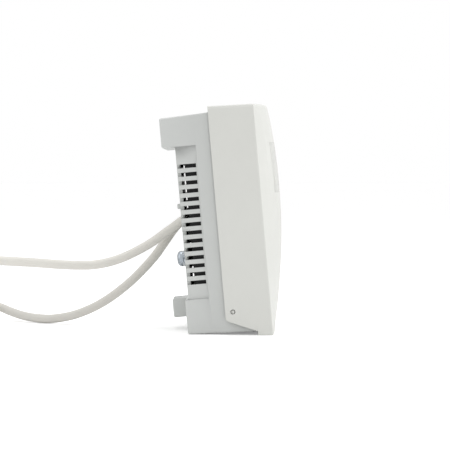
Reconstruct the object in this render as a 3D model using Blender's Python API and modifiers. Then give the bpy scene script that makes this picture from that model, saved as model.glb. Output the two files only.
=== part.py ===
"""Wall-mounted programmable timer with a hinged domed cover and two flying leads.

The timer is modelled upright under an empty, with its front towards -Y. The empty leans it back as it
stands on a table: on the rear edge of its housing and on the lip of its cover. Lengths are in metres.
"""

import math

import bmesh
import bpy
from mathutils import Matrix, Vector

MM = 0.001
FIT = 0.3 * MM  # gap between pieces that touch
RUN = 0.35 * MM  # gap round a piece that slides or turns

# Rear housing. Forward distances are measured from the outside of its rear wall.
WALL = 2.2 * MM
BASE_FRONT = 38.7 * MM
BASE_TOP_REAR = 129.4 * MM
BASE_TOP = 130.6 * MM
BASE_BOTTOM_REAR = 0.25 * MM
BASE_BOTTOM_FRONT = -1.4 * MM
BASE_HALF_REAR = 44.2 * MM
BASE_HALF = 46.3 * MM
FLARE_START = 13.0 * MM
FLARE_END = 20.0 * MM
WALL_BLOCK_REACH = 8.0 * MM
WALL_BLOCK_BOTTOM = 111.7 * MM
LOWER_BLOCK_REACH = 2.0 * MM
LOWER_BLOCK_TOP = 20.8 * MM
EDGE_ROUND = 1.4 * MM

# Vent panel on each side of the housing.
VENT_DEPTH = 1.6 * MM
VENT_FRONT = 12.3 * MM
VENT_MARGIN = 0.3 * MM
SLOT_COUNT = 15
SLOT_PITCH = 4.96 * MM
SLOT_HEIGHT = 2.35 * MM
SLOT_FIRST = 30.6 * MM
SLOT_FRONT = 11.5 * MM
SLOT_WRAP = 0.6 * MM  # how far the slots cut past the side wall into the rear wall

# Split foot that snaps into a wall bracket.
FOOT_HALF = 13.0 * MM
FOOT_REACH = 10.6 * MM
FOOT_BOTTOM = 8.6 * MM
FOOT_TOP = 20.0 * MM
FOOT_SLIT = 3.2 * MM
FOOT_SLIT_LENGTH = 5.4 * MM
FOOT_SLIT_DEPTH = 7.0 * MM

# Front cover.
COVER_HALF = 50.0 * MM
COVER_WALL = 2.0 * MM
COVER_REAR = 21.2 * MM
COVER_TOP = 134.1 * MM
COVER_TOP_FALL = 0.9 * MM
CREASE = 48.4 * MM
CROWN = 12.7 * MM
CROWN_HEIGHT = 84.0 * MM
CROWN_RADIUS = 357.0 * MM
CROWN_POWER = 2.2
LIP_DROP = 4.15 * MM
LIP_REAR = 39.5 * MM
LIP_TOP = -0.9 * MM
COVER_CORNER = 6.3 * MM
COVER_EDGE_ROUND = 1.8 * MM
CREASE_ROUND = 0.5 * MM

# Hinge of the cover.
HINGE_FORWARD = 25.75 * MM
HINGE_HEIGHT = 11.75 * MM
PIN_RADIUS = 1.1 * MM
PIN_HEAD_RADIUS = 2.2 * MM
PIN_HEAD_LENGTH = 2.0 * MM

# Clear window in the cover.
WINDOW_HALF = 29.0 * MM
WINDOW_BOTTOM = 80.0 * MM
WINDOW_TOP = 110.0 * MM

# Leads where they pass the rear wall. Inside it they bend up to a level clamp.
LEAD_RADIUS = 2.75 * MM
LEAD_OFFSET = 3.6 * MM
LEAD_HEIGHT = 66.5 * MM  # where they come out behind the wall
LEAD_EXIT = -1.8 * MM
LEAD_BEND = 22.0 * MM
LEAD_SLOPE = math.radians(30)
LEAD_INNER_END = 16.4 * MM
GROMMET_HEIGHT = 67.3 * MM
GROMMET_HALF = 8.4 * MM
GROMMET_HALF_HEIGHT = 6.0 * MM
GROMMET_FLANGE = 1.9 * MM
GROMMET_FLANGE_THICK = 0.7 * MM
GROMMET_TAB_HALF = 4.0 * MM
GROMMET_TAB_BOTTOM = 74.4 * MM
GROMMET_TAB_TOP = 77.6 * MM
GROMMET_TAB_REACH = 2.9 * MM

# Rear screw.
SCREW_X = -22.0 * MM
SCREW_HEIGHT = 44.6 * MM
SCREW_HEAD_RADIUS = 4.7 * MM
SCREW_HEAD_THICK = 3.5 * MM
SCREW_SHANK_RADIUS = 2.4 * MM
SCREW_LENGTH = 11.0 * MM
SCREW_CROSS = 1.1 * MM
SCREW_CROSS_DEPTH = 1.6 * MM
WASHER_THICK = 0.9 * MM

# Chassis tray and main board.
TRAY_HALF = 38.4 * MM
TRAY_REAR = 4.6 * MM
TRAY_WALL = 1.6 * MM
TRAY_FRONT = 22.0 * MM
TRAY_BOTTOM = 9.0 * MM
TRAY_TOP = 120.5 * MM
TRAY_CUT_HALF = 24.0 * MM
TRAY_CUT_BOTTOM = 53.0 * MM
TRAY_CUT_TOP = 84.0 * MM
TRAY_BOSS_RADIUS = 5.2 * MM
BOARD_THICK = 1.6 * MM

# Lead clamp on a bracket that stands out from the rear wall.
SHELF_HALF = 13.2 * MM
SHELF_LEG = 8.9 * MM
SHELF_THICK = 4.0 * MM
CLAMP_REAR = 10.4 * MM
CLAMP_FRONT = 15.6 * MM
CLAMP_THICK = 3.4 * MM
CLAMP_SCREW_X = 10.8 * MM
CLAMP_SCREW_RADIUS = 1.4 * MM
CLAMP_SCREW_HEAD = 2.7 * MM
CLAMP_SCREW_HEAD_THICK = 1.9 * MM

# Terminal block and the cores that run to it.
TERMINAL_LEFT = -15.0 * MM
TERMINAL_RIGHT = 22.0 * MM
TERMINAL_BOTTOM = 29.0 * MM
TERMINAL_TOP = 46.0 * MM
TERMINAL_REAR = 9.0 * MM
TERMINAL_PITCH = 9.0 * MM
TERMINAL_FIRST = -10.0 * MM
TERMINAL_BORE = 1.8 * MM
TERMINAL_BORE_DEPTH = 7.0 * MM
CORE_RADIUS = 1.1 * MM
CORE_SPACING = 1.35 * MM

# Control panel behind the cover.
PANEL_FRONT = 38.5 * MM
PANEL_THICK = 2.0 * MM
POST_X = 38.0 * MM
POST_RADIUS = 3.3 * MM
POST_TOP_HEIGHT = 125.4 * MM
POST_BOTTOM_HEIGHT = 4.4 * MM
PANEL_SCREW_RADIUS = 1.3 * MM
PANEL_SCREW_HEAD = 2.7 * MM
PANEL_SCREW_HEAD_THICK = 1.8 * MM
PANEL_SCREW_LENGTH = 11.0 * MM
BEZEL_FRONT = 50.0 * MM
BEZEL_WALL = 2.0 * MM
BEZEL_RIM = 1.6 * MM
LCD_HALF = 30.6 * MM
LCD_BOTTOM = 78.4 * MM
LCD_TOP = 111.6 * MM
LCD_THICK = 5.5 * MM
LCD_VIEW_MARGIN = 2.6 * MM

# Display board with its switches, and the buttons that press them.
STUD_X = 37.0 * MM
STUD_RADIUS = 2.4 * MM
STUD_HEIGHTS = (20.0 * MM, 66.0 * MM)
DISPLAY_BOARD_FRONT = 28.6 * MM
DISPLAY_BOARD_HALF = 40.5 * MM
DISPLAY_BOARD_BOTTOM = 15.0 * MM
DISPLAY_BOARD_TOP = 71.0 * MM
BUTTON_HEIGHT = 54.0 * MM
BUTTON_SPACING = 18.0 * MM
BUTTON_NAMES = ("button_menu", "button_down", "button_up", "button_ok")
BUTTON_HALF = 5.5 * MM
BUTTON_HALF_HEIGHT = 3.6 * MM
BUTTON_PROUD = 1.7 * MM
BUTTON_TRAVEL = 1.0 * MM
FLANGE = 1.5 * MM
FLANGE_THICK = 1.5 * MM
TACT_HALF = 3.0 * MM
TACT_BODY = 3.4 * MM
TACT_PLUNGER_RADIUS = 1.75 * MM
SLIDER_HEIGHT = 29.0 * MM
SLIDER_HALF = 3.0 * MM
SLIDER_HALF_HEIGHT = 2.4 * MM
SLIDER_TRAVEL = 4.0 * MM
SLIDER_PROUD = 2.2 * MM
MODE_SWITCH_HALF = 8.0 * MM
MODE_SWITCH_HALF_HEIGHT = 3.6 * MM

# Coils of the leads. Turns lie a pitch apart, and layers a pitch above each other.
COIL_PITCH = 6.1 * MM
COIL_OUTER = 36.0 * MM
COIL_LAYER_TURNS = 2
COIL_LIFT = 3.75 * MM
COIL_DIP = 1.6 * MM
POINTS_A_LOOP = 24
TIE_THICK = 0.55 * MM
TIE_WIDTH = 6.0 * MM
TAIL_LENGTH = 26.0 * MM
FERRULE_LENGTH = 9.0 * MM
FERRULE_COLLAR = 1.6 * MM
FERRULE_PIN = 0.8 * MM
LEAD_STEP = 11.0 * MM

LEAN = math.atan((BASE_BOTTOM_REAR + LIP_DROP) / (CREASE + LOWER_BLOCK_REACH))
ARC_BEND = 1 / (2 * CROWN_RADIUS)

# Routes of the two leads from the back of the timer to their coils, in the frame that the timer stands in.
SUPPLY_ROUTE_MM = (
    (-4.1, 34.2, 59.6), (-6.0, 45.8, 51.6), (-10.0, 61.6, 43.8),
    (-15.0, 77.1, 40.1), (-22.0, 93.9, 40.3), (-30.0, 111.9, 42.0), (-37.0, 129.6, 43.4),
    (-41.5, 140.5, 43.9), (-46.0, 150.3, 41.8), (-49.8, 158.3, 36.0), (-53.0, 163.5, 26.9),
    (-56.2, 168.9, 17.8), (-59.6, 176.9, 12.0),
)
LOAD_ROUTE_MM = (
    (3.7, 28.6, 62.7), (4.3, 31.6, 58.7), (5.3, 36.6, 51.4), (7.3, 43.6, 42.0), (11.0, 57.9, 27.4),
    (17.0, 74.6, 14.9), (24.0, 91.5, 6.9), (31.0, 107.0, 3.4), (37.5, 117.8, 3.1),
    (46.0, 128.0, 4.0), (55.5, 137.4, 6.0), (64.0, 145.4, 8.2), (72.0, 154.4, 9.5),
)
SUPPLY_COIL = {"centre_mm": (-26.0, 198.0), "start": 180.0, "turn": -1, "last_turns": 1.75}
LOAD_COIL = {"centre_mm": (54.0, 196.0), "start": -30.0, "turn": 1, "last_turns": 1.5833}


def crown(z):
    """How far the middle of the cover's front stands before its side crease at a height."""
    return CROWN - ARC_BEND * (z - CROWN_HEIGHT) ** 2


def standing_place():
    """Where the leaning timer's empty goes, with the middle of its footprint over the origin."""
    sine, cosine = math.sin(LEAN), math.cos(LEAN)
    rear = BASE_TOP_REAR * sine + WALL_BLOCK_REACH * cosine
    fullest = CROWN_HEIGHT - math.tan(LEAN) / (2 * ARC_BEND)
    front = fullest * sine - (CREASE + crown(fullest)) * cosine
    up = LOWER_BLOCK_REACH * sine - BASE_BOTTOM_REAR * cosine
    return Vector((0, -(rear + front) / 2, up))


def standing_matrix():
    """From the upright timer to the timer as it stands."""
    return Matrix.Translation(standing_place()) @ Matrix.Rotation(-LEAN, 4, "X")


def clear_scene():
    """Remove what a new file holds."""
    for found in list(bpy.data.objects):
        bpy.data.objects.remove(found)


def new_collection(name):
    """A collection linked to the scene."""
    made = bpy.data.collections.new(name)
    bpy.context.scene.collection.children.link(made)
    return made


def plastic(name, colour, roughness=0.45, metallic=0.0, alpha=1.0):
    """A plain finish."""
    made = bpy.data.materials.new(name)
    made.use_nodes = True
    shader = made.node_tree.nodes["Principled BSDF"]
    shader.inputs["Base Color"].default_value = (*colour, 1.0)
    shader.inputs["Roughness"].default_value = roughness
    shader.inputs["Metallic"].default_value = metallic
    shader.inputs["Alpha"].default_value = alpha
    return made


def mesh_from(name, form):
    """A mesh with the faces of a bmesh turned outwards."""
    form.normal_update()
    bmesh.ops.recalc_face_normals(form, faces=form.faces)
    made = bpy.data.meshes.new(name)
    form.to_mesh(made)
    form.free()
    return made


def piece(name, form, finish, upright=True):
    """One named piece of the timer."""
    made = bpy.data.objects.new(name, mesh_from(name, form))
    made.data.materials.append(finish)
    PARTS.objects.link(made)
    if upright:
        made.parent = RIG
    return made


def helper(name, form):
    """A hidden solid that cuts or joins a piece."""
    made = bpy.data.objects.new(name, mesh_from(name, form))
    made.hide_render = True
    made.display_type = "WIRE"
    CUTTERS.objects.link(made)
    made.parent = RIG
    return made


def boolean(target, tool, operation):
    """Add a Boolean with a helper to a piece."""
    made = target.modifiers.new(tool.name, "BOOLEAN")
    made.object = tool
    made.operation = operation
    made.solver = "EXACT"


def cut(target, tool):
    boolean(target, tool, "DIFFERENCE")


def join(target, tool):
    boolean(target, tool, "UNION")


def round_edges(target, width, segments=2, weighted=False):
    """Round the sharp edges of a piece, or only the weighted ones."""
    made = target.modifiers.new("round", "BEVEL")
    made.width = width
    made.segments = segments
    made.limit_method = "WEIGHT" if weighted else "ANGLE"
    made.angle_limit = math.radians(40)


def block(x, forward, z):
    """A box between pairs of limits across, forward and up."""
    form = bmesh.new()
    bmesh.ops.create_cube(form, size=1)
    size = (x[1] - x[0], forward[1] - forward[0], z[1] - z[0])
    middle = ((x[0] + x[1]) / 2, -(forward[0] + forward[1]) / 2, (z[0] + z[1]) / 2)
    bmesh.ops.scale(form, vec=size, verts=form.verts)
    bmesh.ops.translate(form, vec=middle, verts=form.verts)
    return form


def blocks(boxes):
    """Several boxes in one form."""
    form = bmesh.new()
    for box in boxes:
        part = block(*box)
        held = bpy.data.meshes.new("held")
        part.to_mesh(held)
        part.free()
        form.from_mesh(held)
        bpy.data.meshes.remove(held)
    return form


AXES = {
    "X": Matrix.Rotation(math.radians(90), 4, "Y"),
    "FORWARD": Matrix.Rotation(math.radians(90), 4, "X"),
    "Z": Matrix.Identity(4),
}


def rod(axis, centre, start, end, radius, sides=20, end_radius=None):
    """A round bar along an axis from start to end; centre gives its two other coordinates."""
    form = bmesh.new()
    bmesh.ops.create_cone(
        form, cap_ends=True, segments=sides, depth=end - start,
        radius1=radius, radius2=radius if end_radius is None else end_radius,
    )
    form.transform(Matrix.Translation((0, 0, (start + end) / 2)))
    form.transform(AXES[axis])
    place = {
        "X": lambda c: (0, -c[0], c[1]),
        "FORWARD": lambda c: (c[0], 0, c[1]),
        "Z": lambda c: (c[0], -c[1], 0),
    }[axis](centre)
    form.transform(Matrix.Translation(place))
    return form


def merged(*forms):
    """One form with the bodies of several."""
    whole = bmesh.new()
    for form in forms:
        held = bpy.data.meshes.new("held")
        form.to_mesh(held)
        form.free()
        whole.from_mesh(held)
        bpy.data.meshes.remove(held)
    return whole


def flat_outline(outlines, half_thickness):
    """A closed plate from flat outlines, the later ones holes, in the plane of X and Y."""
    curve = bpy.data.curves.new("outline", "CURVE")
    curve.dimensions = "2D"
    curve.fill_mode = "BOTH"
    curve.extrude = half_thickness
    for outline in outlines:
        spline = curve.splines.new("POLY")
        spline.points.add(len(outline) - 1)
        for point, (u, v) in zip(spline.points, outline):
            point.co = (u, v, 0, 1)
        spline.use_cyclic_u = True
    holder = bpy.data.objects.new("outline", curve)
    mesh = bpy.data.meshes.new_from_object(holder)
    form = bmesh.new()
    form.from_mesh(mesh)
    bpy.data.meshes.remove(mesh)
    bpy.data.objects.remove(holder)
    bpy.data.curves.remove(curve)
    bmesh.ops.remove_doubles(form, verts=form.verts, dist=1e-7)
    if len(outlines) == 1:
        bmesh.ops.dissolve_limit(
            form, angle_limit=math.radians(1), verts=form.verts, edges=form.edges
        )
    return form


def side_profile(outline, half_width):
    """An outline of (forward, up) points drawn out to both sides."""
    form = flat_outline([outline], half_width)
    form.transform(Matrix(((0, 0, -1, 0), (-1, 0, 0, 0), (0, 1, 0, 0), (0, 0, 0, 1))))
    return form


def front_profile(outlines, forward):
    """Outlines of (across, up) points, thick between two forward limits."""
    form = flat_outline(outlines, (forward[1] - forward[0]) / 2)
    form.transform(Matrix.Rotation(math.radians(90), 4, "X"))
    form.transform(Matrix.Translation((0, -(forward[0] + forward[1]) / 2, 0)))
    return form


def slice_form(form, normal, places):
    """Cut every face of a form along planes."""
    for place in places:
        bmesh.ops.bisect_plane(
            form, geom=form.verts[:] + form.edges[:] + form.faces[:],
            plane_co=Vector(normal) * place, plane_no=normal, dist=1e-7,
        )


def between(value, stations):
    """Linear value between (place, value) stations."""
    for (a, first), (b, second) in zip(stations, stations[1:]):
        if value <= b:
            share = max(0.0, (value - a) / (b - a))
            return first + share * (second - first)
    return stations[-1][1]


def widen(form, stations):
    """Give a drawn-out profile the half width that each forward station has."""
    slice_form(form, (0, -1, 0), [place for place, _ in stations[1:-1]])
    for vert in form.verts:
        vert.co.x = math.copysign(between(-vert.co.y, stations), vert.co.x)


def stadium(half, half_height, middle, steps=8):
    """A round-ended outline that is wider than high, about a height."""
    points = []
    for side in (1, -1):
        for step in range(steps + 1):
            angle = math.radians(-90 + 180 * step / steps)
            across = (half - half_height) + half_height * math.cos(angle)
            points.append((side * across, middle + side * half_height * math.sin(angle)))
    return points


def rear_housing(finish):
    """Moulded housing: wall block, vent panels, neck for the cover, lead shelf, posts and snap foot."""
    outside = [
        (-WALL_BLOCK_REACH, WALL_BLOCK_BOTTOM),
        (0, WALL_BLOCK_BOTTOM),
        (0, LOWER_BLOCK_TOP),
        (-LOWER_BLOCK_REACH, LOWER_BLOCK_TOP),
        (-LOWER_BLOCK_REACH, BASE_BOTTOM_REAR),
        (BASE_FRONT, BASE_BOTTOM_FRONT),
        (BASE_FRONT, BASE_TOP),
        (COVER_REAR, BASE_TOP),
        (-WALL_BLOCK_REACH, BASE_TOP_REAR),
    ]
    form = side_profile(outside, BASE_HALF_REAR)
    widen(form, [
        (-WALL_BLOCK_REACH, BASE_HALF_REAR), (FLARE_START, BASE_HALF_REAR),
        (FLARE_END, BASE_HALF), (BASE_FRONT, BASE_HALF),
    ])
    housing = piece("rear_housing", form, finish)
    round_edges(housing, EDGE_ROUND)

    open_front = BASE_FRONT + WALL
    vent_inner = BASE_HALF_REAR - VENT_DEPTH - WALL
    inside = [
        (WALL - WALL_BLOCK_REACH, WALL_BLOCK_BOTTOM + WALL),
        (WALL, WALL_BLOCK_BOTTOM + WALL),
        (WALL, LOWER_BLOCK_TOP - WALL),
        (WALL - LOWER_BLOCK_REACH, LOWER_BLOCK_TOP - WALL),
        (WALL - LOWER_BLOCK_REACH, BASE_BOTTOM_REAR + WALL),
        (open_front, BASE_BOTTOM_FRONT + WALL),
        (open_front, BASE_TOP - WALL),
        (COVER_REAR, BASE_TOP - WALL),
        (WALL - WALL_BLOCK_REACH, BASE_TOP_REAR - WALL),
    ]
    hollow = side_profile(inside, vent_inner)
    widen(hollow, [
        (WALL - WALL_BLOCK_REACH, vent_inner), (FLARE_START, vent_inner),
        (FLARE_END, BASE_HALF - WALL), (open_front, BASE_HALF - WALL),
    ])
    cut(housing, helper("housing_hollow", hollow))

    beyond = COVER_HALF
    panel_face = BASE_HALF_REAR - VENT_DEPTH
    panel_z = (LOWER_BLOCK_TOP - VENT_MARGIN, WALL_BLOCK_BOTTOM + VENT_MARGIN)
    panel_f = (-LOWER_BLOCK_REACH, VENT_FRONT)
    recess = blocks([
        ((panel_face, beyond), panel_f, panel_z), ((-beyond, -panel_face), panel_f, panel_z),
    ])
    cut(housing, helper("vent_recess", recess))
    slot_x = (vent_inner - SLOT_WRAP, beyond)
    slot_boxes = []
    for index in range(SLOT_COUNT):
        middle = SLOT_FIRST + index * SLOT_PITCH
        limits = (middle - SLOT_HEIGHT / 2, middle + SLOT_HEIGHT / 2)
        for across in (slot_x, (-slot_x[1], -slot_x[0])):
            slot_boxes.append((across, (-LOWER_BLOCK_REACH, SLOT_FRONT), limits))
    cut(housing, helper("vent_slots", blocks(slot_boxes)))

    shelf_top = clamp_height() - LEAD_RADIUS - FIT
    shelf_z = (shelf_top - SHELF_THICK, shelf_top)
    for side in (-1, 1):
        across = sorted((side * SHELF_LEG, side * SHELF_HALF))
        leg = block(across, (WALL / 2, CLAMP_FRONT), shelf_z)
        join(housing, helper(f"clamp_leg_{side}", leg))
    shelf = block((-SHELF_LEG - FIT, SHELF_LEG + FIT), (CLAMP_REAR, CLAMP_FRONT), shelf_z)
    join(housing, helper("clamp_shelf", shelf))
    opening = stadium(GROMMET_HALF, GROMMET_HALF_HEIGHT, GROMMET_HEIGHT)
    cut(housing, helper("grommet_opening", front_profile([opening], (-WALL, 2 * WALL))))
    screw_hole = rod("FORWARD", (SCREW_X, SCREW_HEIGHT), -WALL, 2 * WALL, SCREW_SHANK_RADIUS + RUN)
    cut(housing, helper("screw_hole", screw_hole))
    for side in (-1, 1):
        limits = sorted((side * (BASE_HALF - 2 * WALL), side * beyond))
        hole = rod("X", (HINGE_FORWARD, HINGE_HEIGHT), *limits, PIN_RADIUS + RUN)
        cut(housing, helper(f"housing_pin_hole_{side}", hole))

    shelf_screws = [
        rod("Z", (x, (CLAMP_REAR + CLAMP_FRONT) / 2), shelf_top - 2 * SHELF_THICK,
            shelf_top + SHELF_THICK, CLAMP_SCREW_RADIUS + RUN, 12)
        for x in (-CLAMP_SCREW_X, CLAMP_SCREW_X)
    ]
    cut(housing, helper("shelf_screw_holes", merged(*shelf_screws)))

    post_front = PANEL_FRONT - PANEL_THICK - FIT
    for name, (x, z) in post_places().items():
        rear = WALL / 2 - (WALL_BLOCK_REACH if z > WALL_BLOCK_BOTTOM else LOWER_BLOCK_REACH)
        join(housing, helper(f"post_{name}", rod("FORWARD", (x, z), rear, post_front, POST_RADIUS, 16)))
    bores = [
        rod("FORWARD", place, PANEL_FRONT - PANEL_SCREW_LENGTH, PANEL_FRONT, PANEL_SCREW_RADIUS + RUN, 12)
        for place in post_places().values()
    ]
    cut(housing, helper("post_bores", merged(*bores)))

    foot = block((-FOOT_HALF, FOOT_HALF), (-FOOT_REACH, WALL / 2 - LOWER_BLOCK_REACH), (FOOT_BOTTOM, FOOT_TOP))
    foot_body = helper("snap_foot", foot)
    round_edges(foot_body, EDGE_ROUND * 0.8)
    join(housing, foot_body)
    slit = block(
        (-FOOT_SLIT / 2, FOOT_SLIT / 2), (-2 * FOOT_REACH, FOOT_SLIT_LENGTH - FOOT_REACH),
        (FOOT_TOP - FOOT_SLIT_DEPTH, 2 * FOOT_TOP),
    )
    cut(housing, helper("foot_slit", slit))
    return housing


def post_places():
    """Where the four panel posts stand, across and up."""
    return {
        f"{level}_{side}": (x, z)
        for level, z in (("top", POST_TOP_HEIGHT), ("bottom", POST_BOTTOM_HEIGHT))
        for side, x in (("left", -POST_X), ("right", POST_X))
    }


def hood(inset, rear):
    """Domed block of the cover, drawn in by a wall, from its rear plane to its front."""
    half = COVER_HALF - inset
    form = block((-half, half), (rear, CREASE - inset), (-LIP_DROP, COVER_TOP - inset))
    slice_form(form, (1, 0, 0), [half * step / 8 for step in (-7, -6, -4, -2, 0, 2, 4, 6, 7)])
    rise = COVER_TOP - inset
    slice_form(form, (0, 0, 1), [rise * step / 10 for step in range(1, 10)])
    front = -(CREASE - inset)
    for vert in form.verts:
        at_top, at_bottom = vert.co.z > rise - FIT, vert.co.z < FIT - LIP_DROP
        if vert.co.y < front + FIT:
            swell = 1 - (abs(vert.co.x) / half) ** CROWN_POWER
            vert.co.y = front - crown(vert.co.z) * swell
        forward = -vert.co.y
        if at_top:
            fall = COVER_TOP_FALL * (forward - COVER_REAR) / (CREASE - COVER_REAR)
            vert.co.z = rise - min(max(fall, 0.0), COVER_TOP_FALL)
        if at_bottom:
            table = BASE_BOTTOM_REAR - (forward + LOWER_BLOCK_REACH) * math.tan(LEAN)
            vert.co.z = table + inset
    return form


def weigh_edges(form):
    """Mark the cover's edges: its top is rounder than its side creases and its rims stay sharp."""
    weights = form.edges.layers.float.new("bevel_weight_edge")
    form.normal_update()
    bmesh.ops.recalc_face_normals(form, faces=form.faces)
    for edge in form.edges:
        if edge.calc_face_angle(0.0) < math.radians(35):
            continue
        middle = (edge.verts[0].co + edge.verts[1].co) / 2
        if -middle.y < COVER_REAR + FIT:
            continue
        if middle.z > COVER_TOP - 3 * COVER_EDGE_ROUND and edge.calc_length() < COVER_TOP:
            on_crease = abs(edge.verts[0].co.z - edge.verts[1].co.z) > COVER_EDGE_ROUND
            edge[weights] = CREASE_ROUND / COVER_EDGE_ROUND if on_crease else 1.0
        else:
            edge[weights] = CREASE_ROUND / COVER_EDGE_ROUND


def corner_outline():
    """Side outline of what the cover's lower rear corner leaves out: an arc about the hinge and a slope."""
    hinge, lip = Vector((HINGE_FORWARD, HINGE_HEIGHT)), Vector((LIP_REAR, LIP_TOP))
    reach = lip - hinge
    tangent = math.atan2(reach.y, reach.x) - math.acos(COVER_CORNER / reach.length)
    beyond = math.radians(-165)
    steps = 8
    arc = []
    for step in range(steps + 1):
        angle = tangent + (beyond - tangent) * step / steps
        arc.append((hinge.x + COVER_CORNER * math.cos(angle), hinge.y + COVER_CORNER * math.sin(angle)))
    behind, below = COVER_REAR - COVER_CORNER, -3 * LIP_DROP
    return [(behind, below), (LIP_REAR, below), (LIP_REAR, LIP_TOP), *arc, (behind, arc[-1][1])]


def window_box(margin):
    """The box that the cover's window fills."""
    return block(
        (margin - WINDOW_HALF, WINDOW_HALF - margin), (CREASE, CREASE + 2 * CROWN),
        (WINDOW_BOTTOM + margin, WINDOW_TOP - margin),
    )


def front_cover(finish, clear):
    """Domed cover and its window."""
    form = hood(0, COVER_REAR)
    weigh_edges(form)
    cover = piece("front_cover", form, finish)
    round_edges(cover, COVER_EDGE_ROUND, 2, weighted=True)
    hollow = helper("cover_hollow", hood(COVER_WALL, COVER_REAR - COVER_CORNER))
    cut(cover, hollow)
    cut(cover, helper("cover_corner", side_profile(corner_outline(), 2 * COVER_HALF)))
    cut(cover, helper("window_opening", window_box(0)))
    for side in (-1, 1):
        limits = sorted((side * BASE_HALF, side * (COVER_HALF + COVER_WALL)))
        hole = rod("X", (HINGE_FORWARD, HINGE_HEIGHT), *limits, PIN_RADIUS + RUN)
        cut(cover, helper(f"cover_pin_hole_{side}", hole))

    window = piece("display_window", hood(0, COVER_REAR), clear)
    boolean(window, helper("window_blank", window_box(FIT)), "INTERSECT")
    cut(window, hollow)


def hinge_pins(finish):
    """Stub pins from inside the housing's neck to the outside of the cover's side walls."""
    head_end = BASE_HALF - WALL - FIT
    place = (HINGE_FORWARD, HINGE_HEIGHT)
    for name, side in (("left", -1), ("right", 1)):
        tip = COVER_HALF - FIT / 3
        shank = rod("X", place, *sorted((side * (head_end - PIN_HEAD_LENGTH / 2), side * tip)), PIN_RADIUS)
        pin = piece(f"hinge_pin_{name}", shank, finish)
        head_limits = sorted((side * head_end, side * (head_end - PIN_HEAD_LENGTH)))
        join(pin, helper(f"pin_head_{name}", rod("X", place, *head_limits, PIN_HEAD_RADIUS)))


def pan_screw(name, finish, axis, centre, seat, length, shank, head, thick, direction):
    """A pan-head screw whose head sits on a seat; direction is +1 if its shank points up the axis."""
    bar = rod(axis, centre, *sorted((seat - direction * thick / 2, seat + direction * length)), shank, 12)
    made = piece(name, bar, finish)
    limits = sorted((seat, seat - direction * thick))
    top = 0.8 * head
    radii = (head, top) if direction < 0 else (top, head)
    cap = helper(f"{name}_head", rod(axis, centre, *limits, radii[0], 20, radii[1]))
    join(made, cap)
    return made


def rear_screw(finish):
    """Pan-head screw and washer that hold the chassis to the rear wall."""
    place = (SCREW_X, SCREW_HEIGHT)
    ring = rod("FORWARD", place, -FIT - WASHER_THICK, -FIT, SCREW_HEAD_RADIUS)
    washer = piece("rear_washer", ring, finish)
    bore = rod("FORWARD", place, -4 * WASHER_THICK, 2 * WASHER_THICK, SCREW_SHANK_RADIUS + RUN)
    cut(washer, helper("washer_bore", bore))
    seat = -2 * FIT - WASHER_THICK
    screw = pan_screw(
        "rear_screw", finish, "FORWARD", place, seat, SCREW_LENGTH,
        SCREW_SHANK_RADIUS, SCREW_HEAD_RADIUS, SCREW_HEAD_THICK, 1,
    )
    outer = seat - SCREW_HEAD_THICK
    depth = (outer - SCREW_CROSS_DEPTH, outer + SCREW_CROSS_DEPTH)
    arm, slim = SCREW_HEAD_RADIUS * 0.6, SCREW_CROSS / 2
    x, z = place
    upright = block((x - slim, x + slim), depth, (z - arm, z + arm))
    cut(screw, helper("cross_upright", upright))
    level = block((x - arm, x + arm), depth, (z - slim, z + slim))
    cut(screw, helper("cross_level", level))


def cable_grommet(finish):
    """Grommet in the rear wall with a bore for each lead and a small release tab above them."""
    neck = stadium(GROMMET_HALF - FIT, GROMMET_HALF_HEIGHT - FIT, GROMMET_HEIGHT)
    grommet = piece("cable_grommet", front_profile([neck], (-FIT - GROMMET_FLANGE_THICK, WALL)), finish)
    wide, high = GROMMET_HALF + GROMMET_FLANGE, GROMMET_HALF_HEIGHT + GROMMET_FLANGE
    outside = (-FIT - GROMMET_FLANGE_THICK, -FIT)
    join(grommet, helper("grommet_flange", front_profile([stadium(wide, high, GROMMET_HEIGHT)], outside)))
    stem = block((-GROMMET_TAB_HALF, GROMMET_TAB_HALF), outside, (GROMMET_HEIGHT, GROMMET_TAB_TOP))
    join(grommet, helper("grommet_stem", stem))
    tab = block(
        (-GROMMET_TAB_HALF, GROMMET_TAB_HALF), (-GROMMET_TAB_REACH, -FIT - GROMMET_FLANGE_THICK / 2),
        (GROMMET_TAB_BOTTOM, GROMMET_TAB_TOP),
    )
    tab_body = helper("grommet_tab", tab)
    round_edges(tab_body, GROMMET_FLANGE_THICK)
    join(grommet, tab_body)
    (outer_f, outer_z), (inner_f, inner_z) = lead_arc()[-1], lead_arc()[-2]
    slope = math.atan2(inner_z - outer_z, inner_f - outer_f)
    for side in (-1, 1):
        bore = rod("FORWARD", (0, 0), -4 * WALL, 4 * WALL, LEAD_RADIUS + RUN)
        bore.transform(Matrix.Rotation(-slope, 4, "X"))
        middle = (side * LEAD_OFFSET, -(outer_f + inner_f) / 2, (outer_z + inner_z) / 2)
        bore.transform(Matrix.Translation(middle))
        cut(grommet, helper(f"grommet_bore_{side}", bore))


def lead_arc(steps=4):
    """Forward and up places of a lead's bend, from level in the clamp to where it comes out."""
    start = LEAD_EXIT + LEAD_BEND * math.sin(LEAD_SLOPE)
    top = clamp_height()
    places = []
    for step in range(steps + 1):
        angle = LEAD_SLOPE * step / steps
        places.append((start - LEAD_BEND * math.sin(angle), top - LEAD_BEND * (1 - math.cos(angle))))
    return places


def clamp_height():
    """Height of the leads' middles in their clamp."""
    return LEAD_HEIGHT + LEAD_BEND * (1 - math.cos(LEAD_SLOPE))


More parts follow.
